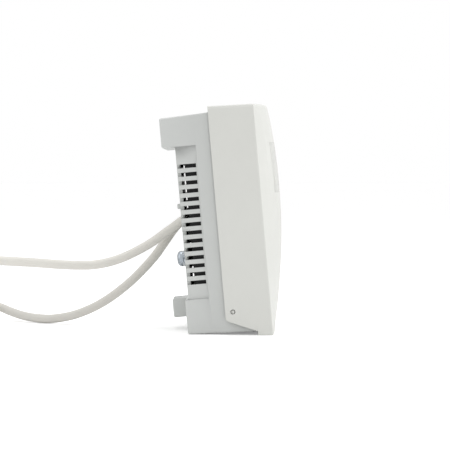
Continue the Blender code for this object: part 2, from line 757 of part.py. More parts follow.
def chassis_tray(finish):
    """Dark open tray that carries the main board behind the vents."""
    tray = piece("chassis_tray", block((-TRAY_HALF, TRAY_HALF), (TRAY_REAR, TRAY_FRONT), (TRAY_BOTTOM, TRAY_TOP)), finish)
    inside = TRAY_HALF - TRAY_WALL
    floor = TRAY_REAR + TRAY_WALL
    hollow = block((-inside, inside), (floor, 2 * TRAY_FRONT), (TRAY_BOTTOM + TRAY_WALL, TRAY_TOP - TRAY_WALL))
    cut(tray, helper("tray_hollow", hollow))
    opening = block((-TRAY_CUT_HALF, TRAY_CUT_HALF), (0, floor + TRAY_WALL), (TRAY_CUT_BOTTOM, TRAY_CUT_TOP))
    cut(tray, helper("tray_opening", opening))
    place = (SCREW_X, SCREW_HEIGHT)
    boss_limits = (WALL + FIT, SCREW_LENGTH)
    join(tray, helper("tray_boss", rod("FORWARD", place, *boss_limits, TRAY_BOSS_RADIUS)))
    cut(tray, helper("tray_bore", rod("FORWARD", place, 0, 2 * SCREW_LENGTH, SCREW_SHANK_RADIUS + RUN)))


def board_face():
    """Forward place of the main board's rear face."""
    return TRAY_FRONT + FIT


def boards(finish):
    """Main board on the tray's rim."""
    rear = board_face()
    inside = TRAY_HALF - TRAY_WALL / 2
    limits = (TRAY_BOTTOM + TRAY_WALL / 2, TRAY_TOP - TRAY_WALL / 2)
    piece("main_board", block((-inside, inside), (rear, rear + BOARD_THICK), limits), finish)


def components(black, can, blue, steel):
    """Parts soldered to the main board: transformer, relay and capacitor behind it, backup cell before it."""
    face = board_face() - FIT
    core_depth, core_half, core_height, core_middle = 13.0 * MM, 15.0 * MM, 24.0 * MM, 102.0 * MM
    limits = (core_middle - core_height / 2, core_middle + core_height / 2)
    core = piece("transformer", block((-core_half, core_half), (face - core_depth, face), limits), black)
    winding_inset, winding_swell = 3.5 * MM, 4.0 * MM
    winding = block(
        (-core_half - winding_swell, core_half + winding_swell),
        (face - core_depth + winding_inset, face - winding_inset / 2),
        (limits[0] + winding_inset, limits[1] - winding_inset),
    )
    winding_body = helper("transformer_winding", winding)
    round_edges(winding_body, winding_inset / 2)
    join(core, winding_body)
    relay_size, relay_place = (15.0 * MM, 15.0 * MM, 19.0 * MM), (-26.0 * MM, 76.0 * MM)
    relay = piece("relay", block(
        (relay_place[0] - relay_size[0] / 2, relay_place[0] + relay_size[0] / 2),
        (face - relay_size[1], face),
        (relay_place[1] - relay_size[2] / 2, relay_place[1] + relay_size[2] / 2),
    ), can)
    round_edges(relay, 0.8 * MM)
    capacitor_radius, capacitor_length, capacitor_place = 6.0 * MM, 15.0 * MM, (27.0 * MM, 84.0 * MM)
    can_form = rod("FORWARD", capacitor_place, face - capacitor_length, face, capacitor_radius)
    capacitor = piece("capacitor", can_form, blue)
    round_edges(capacitor, 0.8 * MM, 1)
    cell_radius, cell_thick, cell_place = 10.0 * MM, 3.2 * MM, (-18.0 * MM, 100.0 * MM)
    front = board_face() + BOARD_THICK + FIT
    piece("backup_cell", rod("FORWARD", cell_place, front, front + cell_thick, cell_radius, 24), steel)


def terminal_places():
    """Across places of the four terminals."""
    return [TERMINAL_FIRST + index * TERMINAL_PITCH for index in range(4)]


def terminal_block(finish):
    """Four-way terminal block on the rear of the main board, with wire entries on top and screw wells behind."""
    face = board_face() - FIT
    terminal = piece("terminal_block", block(
        (TERMINAL_LEFT, TERMINAL_RIGHT), (TERMINAL_REAR, face), (TERMINAL_BOTTOM, TERMINAL_TOP),
    ), finish)
    middle = (TERMINAL_REAR + face) / 2
    entries = [
        rod("Z", (x, middle), TERMINAL_TOP - TERMINAL_BORE_DEPTH, 2 * TERMINAL_TOP, TERMINAL_BORE, 12)
        for x in terminal_places()
    ]
    cut(terminal, helper("wire_entries", merged(*entries)))
    well_height, well_depth = (TERMINAL_TOP + TERMINAL_BOTTOM) / 2 - TERMINAL_BORE, 2 * TERMINAL_BORE
    wells = [
        rod("FORWARD", (x, well_height), 0, TERMINAL_REAR + well_depth, 1.4 * TERMINAL_BORE, 12)
        for x in terminal_places()
    ]
    cut(terminal, helper("screw_wells", merged(*wells)))


def lead_clamp(finish, steel):
    """Clamp bar over both leads, screwed to the housing's shelf."""
    bottom = clamp_height() + LEAD_RADIUS + FIT
    top = bottom + CLAMP_THICK
    bar = piece("clamp_bar", block((-SHELF_HALF, SHELF_HALF), (CLAMP_REAR, CLAMP_FRONT), (bottom, top)), finish)
    middle = (CLAMP_REAR + CLAMP_FRONT) / 2
    holes = [
        rod("Z", (x, middle), bottom - CLAMP_THICK, top + CLAMP_THICK, CLAMP_SCREW_RADIUS + RUN, 12)
        for x in (-CLAMP_SCREW_X, CLAMP_SCREW_X)
    ]
    cut(bar, helper("clamp_holes", merged(*holes)))
    round_edges(bar, 0.5 * MM, 1)
    length = CLAMP_THICK + 2 * LEAD_RADIUS + SHELF_THICK
    for name, x in (("left", -CLAMP_SCREW_X), ("right", CLAMP_SCREW_X)):
        pan_screw(
            f"clamp_screw_{name}", steel, "Z", (x, middle), top + FIT, length,
            CLAMP_SCREW_RADIUS, CLAMP_SCREW_HEAD, CLAMP_SCREW_HEAD_THICK, -1,
        )


def control_panel(finish):
    """Panel in the mouth of the housing: display bezel, button and slider openings, studs for its board."""
    rear = PANEL_FRONT - PANEL_THICK
    half = BASE_HALF - WALL - FIT
    limits = (BASE_BOTTOM_FRONT + WALL + 3 * FIT, BASE_TOP - WALL - FIT)
    panel = piece("control_panel", block((-half, half), (rear, PANEL_FRONT), limits), finish)
    around = FIT + BEZEL_WALL
    raised = block(
        (-LCD_HALF - around, LCD_HALF + around), (rear, BEZEL_FRONT), (LCD_BOTTOM - around, LCD_TOP + around),
    )
    bezel = helper("bezel_raised", raised)
    round_edges(bezel, EDGE_ROUND)
    join(panel, bezel)
    studs = [
        rod("FORWARD", (x, z), DISPLAY_BOARD_FRONT + FIT, rear + PANEL_THICK / 2, STUD_RADIUS, 12)
        for x in (-STUD_X, STUD_X) for z in STUD_HEIGHTS
    ]
    join(panel, helper("board_studs", merged(*studs)))
    cavity = block(
        (-LCD_HALF - FIT, LCD_HALF + FIT), (0, BEZEL_FRONT - BEZEL_RIM), (LCD_BOTTOM - FIT, LCD_TOP + FIT),
    )
    cut(panel, helper("bezel_cavity", cavity))
    view = LCD_VIEW_MARGIN
    view_box = block(
        (view - LCD_HALF, LCD_HALF - view), (rear, 2 * BEZEL_FRONT), (LCD_BOTTOM + view, LCD_TOP - view),
    )
    cut(panel, helper("bezel_view", view_box))
    reach = (rear - PANEL_THICK, PANEL_FRONT + PANEL_THICK)
    wide, high = BUTTON_HALF + RUN, BUTTON_HALF_HEIGHT + RUN
    openings = [
        ((x - wide, x + wide), reach, (BUTTON_HEIGHT - high, BUTTON_HEIGHT + high)) for x in button_places()
    ]
    slide = SLIDER_HALF + SLIDER_TRAVEL + RUN
    slide_high = SLIDER_HALF_HEIGHT + RUN
    openings.append(((-slide, slide), reach, (SLIDER_HEIGHT - slide_high, SLIDER_HEIGHT + slide_high)))
    cut(panel, helper("panel_openings", blocks(openings)))
    holes = [
        rod("FORWARD", place, *reach, PANEL_SCREW_RADIUS + RUN, 12) for place in post_places().values()
    ]
    cut(panel, helper("panel_screw_holes", merged(*holes)))


def panel_screws(steel):
    """Four screws that hold the control panel to the housing's posts."""
    for name, place in post_places().items():
        pan_screw(
            f"panel_screw_{name}", steel, "FORWARD", place, PANEL_FRONT + FIT,
            PANEL_SCREW_LENGTH - 2 * FIT, PANEL_SCREW_RADIUS, PANEL_SCREW_HEAD, PANEL_SCREW_HEAD_THICK, -1,
        )


def display(board_finish, lcd_finish, black):
    """Display module in the bezel, and the board with the tact switches and the mode switch."""
    lcd_front = BEZEL_FRONT - BEZEL_RIM - FIT
    lcd_box = block((-LCD_HALF, LCD_HALF), (lcd_front - LCD_THICK, lcd_front), (LCD_BOTTOM, LCD_TOP))
    piece("lcd_module", lcd_box, lcd_finish)
    rear = DISPLAY_BOARD_FRONT - BOARD_THICK
    half, limits = DISPLAY_BOARD_HALF, (DISPLAY_BOARD_BOTTOM, DISPLAY_BOARD_TOP)
    piece("display_board", block((-half, half), (rear, DISPLAY_BOARD_FRONT), limits), board_finish)
    seat = DISPLAY_BOARD_FRONT + FIT
    tip = PANEL_FRONT - PANEL_THICK - FIT - FLANGE_THICK - BUTTON_TRAVEL - FIT
    for index, x in enumerate(button_places()):
        body = block(
            (x - TACT_HALF, x + TACT_HALF), (seat, seat + TACT_BODY),
            (BUTTON_HEIGHT - TACT_HALF, BUTTON_HEIGHT + TACT_HALF),
        )
        switch = piece(f"tact_switch_{index + 1}", body, black)
        plunger = rod("FORWARD", (x, BUTTON_HEIGHT), seat + TACT_BODY / 2, tip, TACT_PLUNGER_RADIUS, 12)
        join(switch, helper(f"tact_plunger_{index + 1}", plunger))
    top = PANEL_FRONT - PANEL_THICK - FIT - FLANGE_THICK - FIT
    high = MODE_SWITCH_HALF_HEIGHT
    switch_box = block(
        (-MODE_SWITCH_HALF, MODE_SWITCH_HALF), (seat, top), (SLIDER_HEIGHT - high, SLIDER_HEIGHT + high),
    )
    piece("mode_switch", switch_box, black)


def button_places():
    """Across places of the buttons."""
    middle = (len(BUTTON_NAMES) - 1) / 2
    return [(index - middle) * BUTTON_SPACING for index in range(len(BUTTON_NAMES))]


def capped_flange(x, z, half, half_height, proud):
    """A flange behind the panel with a cap that stands through the panel."""
    seat = PANEL_FRONT - PANEL_THICK - FIT
    form = block(
        (x - half - FLANGE, x + half + FLANGE), (seat - FLANGE_THICK, seat),
        (z - half_height - FLANGE, z + half_height + FLANGE),
    )
    face = min(form.faces, key=lambda found: found.calc_center_median().y)
    bmesh.ops.inset_region(form, faces=[face], thickness=FLANGE, use_even_offset=True)
    drawn = bmesh.ops.extrude_face_region(form, geom=[face])
    moved = [item for item in drawn["geom"] if isinstance(item, bmesh.types.BMVert)]
    bmesh.ops.translate(form, vec=(0, -(PANEL_FRONT + proud - seat), 0), verts=moved)
    bmesh.ops.delete(form, geom=[face], context="FACES")
    return form


def move_origin(target, place):
    """Set a moving piece's origin on its joint."""
    offset = Vector(place)
    target.data.transform(Matrix.Translation(-offset))
    target.location = offset


def buttons(finish, dark):
    """Four push buttons, and the mode slider."""
    for name, x in zip(BUTTON_NAMES, button_places()):
        form = capped_flange(x, BUTTON_HEIGHT, BUTTON_HALF, BUTTON_HALF_HEIGHT, BUTTON_PROUD)
        made = piece(name, form, finish)
        move_origin(made, (x, -PANEL_FRONT, BUTTON_HEIGHT))
        round_edges(made, 0.5 * MM)
    form = capped_flange(0, SLIDER_HEIGHT, SLIDER_HALF, SLIDER_HALF_HEIGHT, SLIDER_PROUD)
    slider = piece("mode_slider", form, dark)
    move_origin(slider, (0, -PANEL_FRONT, SLIDER_HEIGHT))
    round_edges(slider, 0.5 * MM)


def smooth(points, step):
    """Points about a step apart on a smooth curve through a route's own points."""
    ends = [2 * points[0] - points[1], *points, 2 * points[-1] - points[-2]]
    fine = []
    parts = 24
    for a, b, c, d in zip(ends, ends[1:], ends[2:], ends[3:]):
        for part in range(parts):
            t = part / parts
            fine.append(0.5 * (
                2 * b + (c - a) * t + (2 * a - 5 * b + 4 * c - d) * t ** 2
                + (3 * b - a - 3 * c + d) * t ** 3
            ))
    fine.append(points[-1])
    along = [0.0]
    for a, b in zip(fine, fine[1:]):
        along.append(along[-1] + (b - a).length)
    count = max(2, round(along[-1] / step))
    result, at = [], 0
    for index in range(count + 1):
        goal = along[-1] * index / count
        while at < len(along) - 2 and along[at + 1] < goal:
            at += 1
        share = (goal - along[at]) / max(along[at + 1] - along[at], 1e-9)
        result.append(fine[at].lerp(fine[at + 1], min(share, 1.0)))
    return result


def tube(name, points, radius, finish, resolution=2):
    """A round tube along points, in the frame that the timer stands in."""
    curve = bpy.data.curves.new(name, "CURVE")
    curve.dimensions = "3D"
    curve.bevel_depth = radius
    curve.bevel_resolution = resolution
    curve.use_fill_caps = True
    curve.resolution_u = 1
    curve.render_resolution_u = 0
    spline = curve.splines.new("POLY")
    spline.points.add(len(points) - 1)
    for point, place in zip(spline.points, points):
        point.co = (*place, 1)
    made = bpy.data.objects.new(name, curve)
    curve.materials.append(finish)
    PARTS.objects.link(made)
    return made


def coil_places(coil):
    """Points down the middle of a coil: in on the upper layer, down a layer, and out on the lower one."""
    centre = Vector((coil["centre_mm"][0] * MM, coil["centre_mm"][1] * MM, 0))
    turns = COIL_LAYER_TURNS + 0.5 + coil["last_turns"]
    inner = COIL_OUTER - COIL_LAYER_TURNS * COIL_PITCH
    count = round(turns * POINTS_A_LOOP)
    points = []
    for index in range(count + 1):
        at = turns * index / count
        climb = min(max((at - COIL_LAYER_TURNS) / 0.5, 0.0), 1.0)
        if at <= COIL_LAYER_TURNS:
            radius = COIL_OUTER - at * COIL_PITCH
        else:
            radius = inner + max(at - COIL_LAYER_TURNS - 0.5, 0.0) * COIL_PITCH
        radius -= COIL_DIP * math.sin(math.pi * climb)
        height = COIL_LIFT + COIL_PITCH * (1 + math.cos(math.pi * climb)) / 2
        angle = math.radians(coil["start"] + coil["turn"] * 360 * at)
        points.append(centre + Vector((radius * math.cos(angle), radius * math.sin(angle), height)))
    thick = 2 * LEAD_RADIUS
    start, end = math.radians(coil["start"]), math.radians(coil["start"] + coil["turn"] * 360 * turns)
    lead_in = coil["turn"] * Vector((-math.sin(start), math.cos(start), 0))
    lead_out = coil["turn"] * Vector((-math.sin(end), math.cos(end), 0))
    return [points[0] - thick * lead_in, *points, points[-1] + thick * lead_out]


def least_gap(points):
    """The least space between turns of a coil, measured between points that aren't near along it."""
    apart = POINTS_A_LOOP // 2
    return min(
        (points[a] - points[b]).length
        for a in range(len(points)) for b in range(a + apart, len(points))
    ) - 2 * LEAD_RADIUS


def tie(name, coil, finish):
    """A flat band closed round the turns of a coil, three quarters of a turn after the coil starts."""
    share = 0.75
    inner = COIL_OUTER - COIL_LAYER_TURNS * COIL_PITCH
    near = min(COIL_OUTER - (COIL_LAYER_TURNS - 1 + share) * COIL_PITCH, inner + (share - 0.5) * COIL_PITCH)
    far = max(COIL_OUTER - share * COIL_PITCH, inner + (share + 0.5) * COIL_PITCH)
    room = LEAD_RADIUS + 2 * FIT
    low, high = COIL_LIFT - LEAD_RADIUS - FIT, COIL_LIFT + COIL_PITCH + LEAD_RADIUS + FIT
    frames = []
    for grow in (TIE_THICK, 0.0):
        a, b = near - room - grow, far + room + grow
        c, d = low - grow, high + grow
        chamfer = LEAD_RADIUS / 3 + grow / 2
        frames.append([
            (a + chamfer, c), (b - chamfer, c), (b, c + chamfer), (b, d - chamfer),
            (b - chamfer, d), (a + chamfer, d), (a, d - chamfer), (a, c + chamfer),
        ])
    form = flat_outline(frames, TIE_WIDTH / 2)
    form.transform(Matrix.Rotation(math.radians(90), 4, "X"))
    form.transform(Matrix.Rotation(math.radians(coil["start"] + coil["turn"] * 360 * share), 4, "Z"))
    form.transform(Matrix.Translation((coil["centre_mm"][0] * MM, coil["centre_mm"][1] * MM, 0)))
    piece(name, form, finish, upright=False)


def stripped_end(name, points, cores, steel):
    """Two stripped cores beyond the end of a lead's sheath, each with its ferrule."""
    ahead = (points[-1] - points[-2]).normalized()
    beside = ahead.cross(Vector((0, 0, 1)))
    drop = COIL_LIFT - FERRULE_COLLAR - FIT
    for (colour, finish), side in zip(cores, (-1, 1)):
        root = points[-1] + FIT * ahead + side * CORE_SPACING * beside
        spread = side * 0.6 * CORE_RADIUS * beside
        line = []
        for share in (0.0, 0.15, 0.4, 0.7, 1.0):
            ease = share * share * (3 - 2 * share)
            line.append(root + share * TAIL_LENGTH * ahead + ease * spread - ease * drop * Vector((0, 0, 1)))
        tube(f"{name}_core_{colour}", line, CORE_RADIUS, finish)
        start = line[-1] + FIT * ahead
        turn = ahead.to_track_quat("Z", "Y").to_matrix().to_4x4()
        collar_length = FERRULE_LENGTH * 0.4
        collar = bmesh.new()
        bmesh.ops.create_cone(
            collar, cap_ends=True, segments=10, depth=collar_length,
            radius1=FERRULE_COLLAR, radius2=FERRULE_PIN * 1.2,
        )
        collar.transform(Matrix.Translation(start + ahead * collar_length / 2) @ turn)
        face = max(collar.faces, key=lambda found: (found.calc_center_median() - start).dot(ahead))
        drawn = bmesh.ops.extrude_face_region(collar, geom=[face])
        moved = [item for item in drawn["geom"] if isinstance(item, bmesh.types.BMVert)]
        bmesh.ops.translate(collar, vec=ahead * (FERRULE_LENGTH - collar_length), verts=moved)
        bmesh.ops.delete(collar, geom=[face], context="FACES")
        piece(f"{name}_ferrule_{colour}", collar, steel, upright=False)


def lead(name, side, route_mm, coil, sheath, tie_finish, cores, steel):
    """A lead from inside the housing to its coil, with its tie and stripped end."""
    stand = standing_matrix()
    held = [(LEAD_INNER_END, clamp_height()), *lead_arc()]
    inside = [stand @ Vector((side * LEAD_OFFSET, -forward, up)) for forward, up in held]
    wound = coil_places(coil)
    into = (wound[1] - wound[0]).normalized()
    route = [Vector(point) * MM for point in route_mm]
    meet = wound[0] - FIT * into
    free = [*inside[:-1], *smooth([inside[-1], *route, meet - 2 * LEAD_RADIUS * into], LEAD_STEP), meet]
    tube(f"{name}_lead", free, LEAD_RADIUS, sheath)
    tube(f"{name}_coil", wound, LEAD_RADIUS, sheath, resolution=1)
    tie(f"{name}_tie", coil, tie_finish)
    stripped_end(name, wound, cores, steel)
    length = sum((b - a).length for line in (free, wound) for a, b in zip(line, line[1:]))
    print(f"{name} lead: {length:.3f} m, least gap in its coil {least_gap(wound) * 1000:.2f} mm")


def inner_cores(cores):
    """Core wires from the inner ends of the leads into the terminal block."""
    stand = standing_matrix()
    middle = (TERMINAL_REAR + board_face() - FIT) / 2
    deep = TERMINAL_TOP - 0.6 * TERMINAL_BORE_DEPTH
    top = clamp_height()
    starts = [("supply", -1, -1), ("supply", -1, 1), ("load", 1, -1), ("load", 1, 1)]
    for (lead_name, side, beside), x, (colour, finish) in zip(starts, terminal_places(), cores * 2):
        from_x = side * LEAD_OFFSET + beside * CORE_SPACING
        bend = CLAMP_FRONT + 3 * CORE_RADIUS
        line = [
            (from_x, LEAD_INNER_END + 3 * FIT, top),
            (from_x, LEAD_INNER_END + 2.0 * MM, top),
            (from_x, bend, top - 2.0 * MM),
            (0.8 * from_x + 0.2 * x, bend, top - 9.0 * MM),
            ((from_x + x) / 2, bend - 1.5 * MM, (top + TERMINAL_TOP) / 2),
            (x, middle, TERMINAL_TOP + 4.0 * MM),
            (x, middle, TERMINAL_TOP),
            (x, middle, deep),
        ]
        points = [stand @ Vector((across, -forward, up)) for across, forward, up in line]
        tube(f"{lead_name}_wire_{colour}", smooth(points, 2.4 * MM), CORE_RADIUS, finish)


def build_timer():
    """Make every piece of the timer."""
    white = plastic("housing_white", (0.60, 0.62, 0.62))
    cover_white = plastic("cover_white", (0.66, 0.67, 0.63))
    clear = plastic("window_clear", (0.55, 0.58, 0.58), 0.08, alpha=0.35)
    black = plastic("chassis_black", (0.012, 0.012, 0.013), 0.6)
    zinc = plastic("zinc", (0.62, 0.64, 0.67), 0.3, 1.0)
    sheath = plastic("lead_sheath", (0.69, 0.66, 0.60), 0.5)
    board_green = plastic("board_green", (0.02, 0.16, 0.06), 0.4)
    can_blue = plastic("capacitor_blue", (0.03, 0.06, 0.25), 0.35)
    relay_yellow = plastic("relay_case", (0.05, 0.05, 0.06), 0.4)
    lcd_grey = plastic("lcd_grey", (0.28, 0.32, 0.26), 0.2)
    terminal_grey = plastic("terminal_grey", (0.45, 0.46, 0.44), 0.5)
    key_grey = plastic("key_grey", (0.30, 0.32, 0.34), 0.5)
    key_dark = plastic("key_dark", (0.06, 0.07, 0.08), 0.5)
    cores = [("brown", plastic("core_brown", (0.16, 0.06, 0.02))), ("blue", plastic("core_blue", (0.02, 0.10, 0.42)))]

    rear_housing(white)
    front_cover(cover_white, clear)
    hinge_pins(cover_white)
    rear_screw(zinc)
    cable_grommet(white)
    chassis_tray(black)
    boards(board_green)
    components(black, relay_yellow, can_blue, zinc)
    terminal_block(terminal_grey)
    lead_clamp(terminal_grey, zinc)
    inner_cores(cores)
    control_panel(white)
    panel_screws(zinc)
    display(board_green, lcd_grey, black)
    buttons(key_grey, key_dark)
    lead("supply", -1, SUPPLY_ROUTE_MM, SUPPLY_COIL, sheath, black, cores, zinc)
    lead("load", 1, LOAD_ROUTE_MM, LOAD_COIL, sheath, black, cores, zinc)


clear_scene()
PARTS = new_collection("programmable_timer")
CUTTERS = new_collection("cutters")
RIG = bpy.data.objects.new("standing_frame", None)
PARTS.objects.link(RIG)
RIG.matrix_world = standing_matrix()
build_timer()
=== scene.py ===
"""Looks of a wall-mounted programmable timer: finishes, leads, small fittings, light and camera."""

import math

import bmesh
import bpy
from bpy.props import FloatProperty, FloatVectorProperty, IntProperty, PointerProperty
from mathutils import Matrix, Vector


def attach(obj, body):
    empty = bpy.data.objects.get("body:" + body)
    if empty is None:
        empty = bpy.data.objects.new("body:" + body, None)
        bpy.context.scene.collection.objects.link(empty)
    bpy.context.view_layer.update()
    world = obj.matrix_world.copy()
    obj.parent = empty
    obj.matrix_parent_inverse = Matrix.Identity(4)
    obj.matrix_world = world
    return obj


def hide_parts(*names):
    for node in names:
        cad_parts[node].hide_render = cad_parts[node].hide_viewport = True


bl_info = {
    "name": "Programmable timer looks",
    "version": (1, 0, 0),
    "blender": (4, 5, 0),
    "location": "View3D > Sidebar > Timer",
    "description": "Dresses the packed timer with finishes, leads, fittings and a stage",
    "category": "Object",
}

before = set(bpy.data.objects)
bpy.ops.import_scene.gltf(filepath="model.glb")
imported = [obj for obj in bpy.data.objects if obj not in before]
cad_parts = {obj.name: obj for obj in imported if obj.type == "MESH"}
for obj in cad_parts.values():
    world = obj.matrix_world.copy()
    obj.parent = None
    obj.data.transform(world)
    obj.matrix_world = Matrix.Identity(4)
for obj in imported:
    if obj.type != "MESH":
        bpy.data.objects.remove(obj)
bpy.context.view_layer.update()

MM = 0.001
IMAGE_WIDTH = 450
SENSOR_MM = 36.0
FLOOR_LIFT = 0.27  # how much whiter the floor looks to the camera
FIT = 0.3 * MM  # gap between pieces that touch
HAIR_LINE = 0.04 * MM  # gap round the pane in the cover

# The timer leans back by this angle about X, and its own upright frame starts at this place.
LEAN = math.atan(4.4 / 50.4)
STAND = Matrix.Translation((0, 17.847 * MM, -0.075 * MM)) @ Matrix.Rotation(-LEAN, 4, "X")

# Leads, in the frame that the timer stands in. The held part is in the timer's own frame: forward and up.
LEAD_OFFSET = 3.6 * MM
LEAD_HEIGHT = 66.5 * MM
LEAD_EXIT = -1.8 * MM
LEAD_BEND = 22.0 * MM
LEAD_SLOPE = math.radians(30)
LEAD_INNER_END = 16.4 * MM
SUPPLY_ROUTE_MM = (
    (-4.1, 34.2, 59.6), (-6.0, 45.8, 51.6), (-10.0, 61.6, 43.8), (-15.0, 77.1, 40.1), (-22.0, 93.9, 40.3),
    (-30.0, 111.9, 42.0), (-37.0, 129.6, 43.4), (-41.5, 140.5, 43.9), (-46.0, 150.3, 41.8),
    (-49.8, 158.3, 36.0), (-53.0, 163.5, 26.9), (-56.2, 168.9, 17.8), (-59.6, 176.9, 12.0),
)
LOAD_ROUTE_MM = (
    (3.7, 28.6, 62.7), (4.3, 31.6, 58.7), (5.3, 36.6, 51.4), (7.3, 43.6, 42.0), (11.0, 57.9, 27.4),
    (17.0, 74.6, 14.9), (24.0, 91.5, 6.9), (31.0, 107.0, 3.4), (37.5, 117.8, 3.1),
    (46.0, 128.0, 4.0), (55.5, 137.4, 6.0), (64.0, 145.4, 8.2), (72.0, 154.4, 9.5),
)
LEADS = {
    "supply": {
        "side": -1, "route": SUPPLY_ROUTE_MM, "centre": (-26.0, 198.0), "start": 180.0, "turn": -1,
        "last_turns": 1.75, "length": 0.99,
    },
    "load": {
        "side": 1, "route": LOAD_ROUTE_MM, "centre": (54.0, 196.0), "start": -30.0, "turn": 1,
        "last_turns": 1.5833, "length": 0.96,
    },
}
COIL_PITCH = 6.1 * MM
COIL_OUTER = 36.0 * MM
COIL_LAYER_TURNS = 2
COIL_LIFT = 3.75 * MM
COIL_DIP = 1.6 * MM
POINTS_A_LOOP = 40
ROUTE_STEP = 4.0 * MM

# Ties, stripped ends and the core wires inside.
TIE_SHARE = 0.75
TIE_WIDTH = 6.0 * MM
TIE_THICK = 0.55 * MM
TAIL_LENGTH = 26.0 * MM
CORE_RADIUS = 1.1 * MM
CORE_SPACING = 1.35 * MM
FERRULE_COLLAR = 1.6 * MM
FERRULE_LENGTH = 9.0 * MM
FERRULE_PIN = 0.8 * MM
WIRE_BEND = 18.9 * MM
TERMINAL_TOP = 46.0 * MM
TERMINAL_REAR = 9.0 * MM
TERMINAL_MIDDLE = 15.5 * MM
TERMINAL_DEEP = 41.8 * MM
TERMINAL_XS = (-10.0 * MM, -1.0 * MM, 8.0 * MM, 17.0 * MM)
TERMINAL_WELL_HEIGHT = 35.7 * MM
TERMINAL_WELL_DEPTH = 3.6 * MM

# Screws. Each size holds the length below the head, shank radius, head radius and head thickness.
REAR_SCREW = (11.0 * MM, 2.4 * MM, 4.7 * MM, 3.5 * MM)
PANEL_SCREW = (10.4 * MM, 1.3 * MM, 2.7 * MM, 1.8 * MM)
CLAMP_SCREW = (12.9 * MM, 1.4 * MM, 2.7 * MM, 1.9 * MM)
SCREW_X = -22.0 * MM
SCREW_HEIGHT = 44.6 * MM
SCREW_SEAT = -1.5 * MM
PANEL_FRONT = 38.5 * MM
POST_X = 38.0 * MM
POST_HEIGHTS = {"top": 125.4 * MM, "bottom": 4.4 * MM}
CLAMP_SCREW_X = 10.8 * MM
CLAMP_MIDDLE = 13.0 * MM
CLAMP_TOP = 76.2 * MM

# Display, keys and slider on the control panel.
LCD_FRONT = 48.1 * MM
LCD_BOTTOM = 78.4 * MM
KEY_HEIGHT = 54.0 * MM
KEY_XS = (-27.0 * MM, -9.0 * MM, 9.0 * MM, 27.0 * MM)
KEY_FACE = 40.2 * MM
SIGN_HALF = 1.7 * MM
SIGN_RISE = 1.3 * MM
SLIDER_HEIGHT = 29.0 * MM
SLIDER_FACE = 40.7 * MM


class TimerLook(bpy.types.PropertyGroup):
    """Sizes and colours of the timer's looks."""

    lead_diameter: FloatProperty(
        name="Lead diameter", description="Outside diameter of the round flex", default=5.5 * MM,
        unit="LENGTH", subtype="DISTANCE",
    )
    lead_sides: IntProperty(
        name="Lead roundness", description="Bevel resolution of the leads", default=6, min=2, max=12,
    )
    grain: FloatProperty(
        name="Moulding grain", description="Size of the fine grain on moulded faces", default=0.45 * MM,
        unit="LENGTH", subtype="DISTANCE",
    )
    housing_colour: FloatVectorProperty(
        name="Housing colour", description="Colour of the rear housing", default=(0.605, 0.62, 0.605),
        size=3, subtype="COLOR",
    )
    cover_colour: FloatVectorProperty(
        name="Cover colour", description="Colour of the front cover", default=(0.68, 0.685, 0.65),
        size=3, subtype="COLOR",
    )
    sheath_colour: FloatVectorProperty(
        name="Sheath colour", description="Colour of the lead sheaths", default=(0.75, 0.73, 0.68),
        size=3, subtype="COLOR",
    )


class TimerStage(bpy.types.PropertyGroup):
    """Camera and light."""

    camera_place: FloatVectorProperty(
        name="Camera place", description="Where the camera stands", default=(-1.070, -0.00212, 0.0930),
        size=3, subtype="TRANSLATION", unit="LENGTH",
    )
    focal_pixels: FloatProperty(
        name="Focal length in pixels", description="Focal length in pixels of the square image",
        default=1730.0,
    )
    tilt: FloatProperty(
        name="Camera tilt", description="How far the camera looks down", default=math.radians(1.557),
        subtype="ANGLE", unit="ROTATION",
    )
    front_power: FloatProperty(
        name="Front light power", description="Power of the light before the timer's front", default=3.4,
    )
    back_power: FloatProperty(
        name="Back light power", description="Power of the light behind the timer", default=1.3,
    )
    top_power: FloatProperty(name="Top light power", description="Power of the overhead light", default=4.0)
    world_strength: FloatProperty(
        name="World strength", description="Strength of the plain surroundings", default=0.74,
    )


def look(context):
    return context.scene.timer_look


def node_object(name):
    """The CAD object of a node."""
    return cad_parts[name]


def add_object(name, data, body="housing"):
    """Link a new piece and let it ride on a body."""
    made = bpy.data.objects.new(name, data)
    bpy.context.scene.collection.objects.link(made)
    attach(made, body)
    return made


def upright(across, forward, up):
    """A point of the timer's own upright frame, where the timer stands."""
    return STAND @ Vector((across, -forward, up))


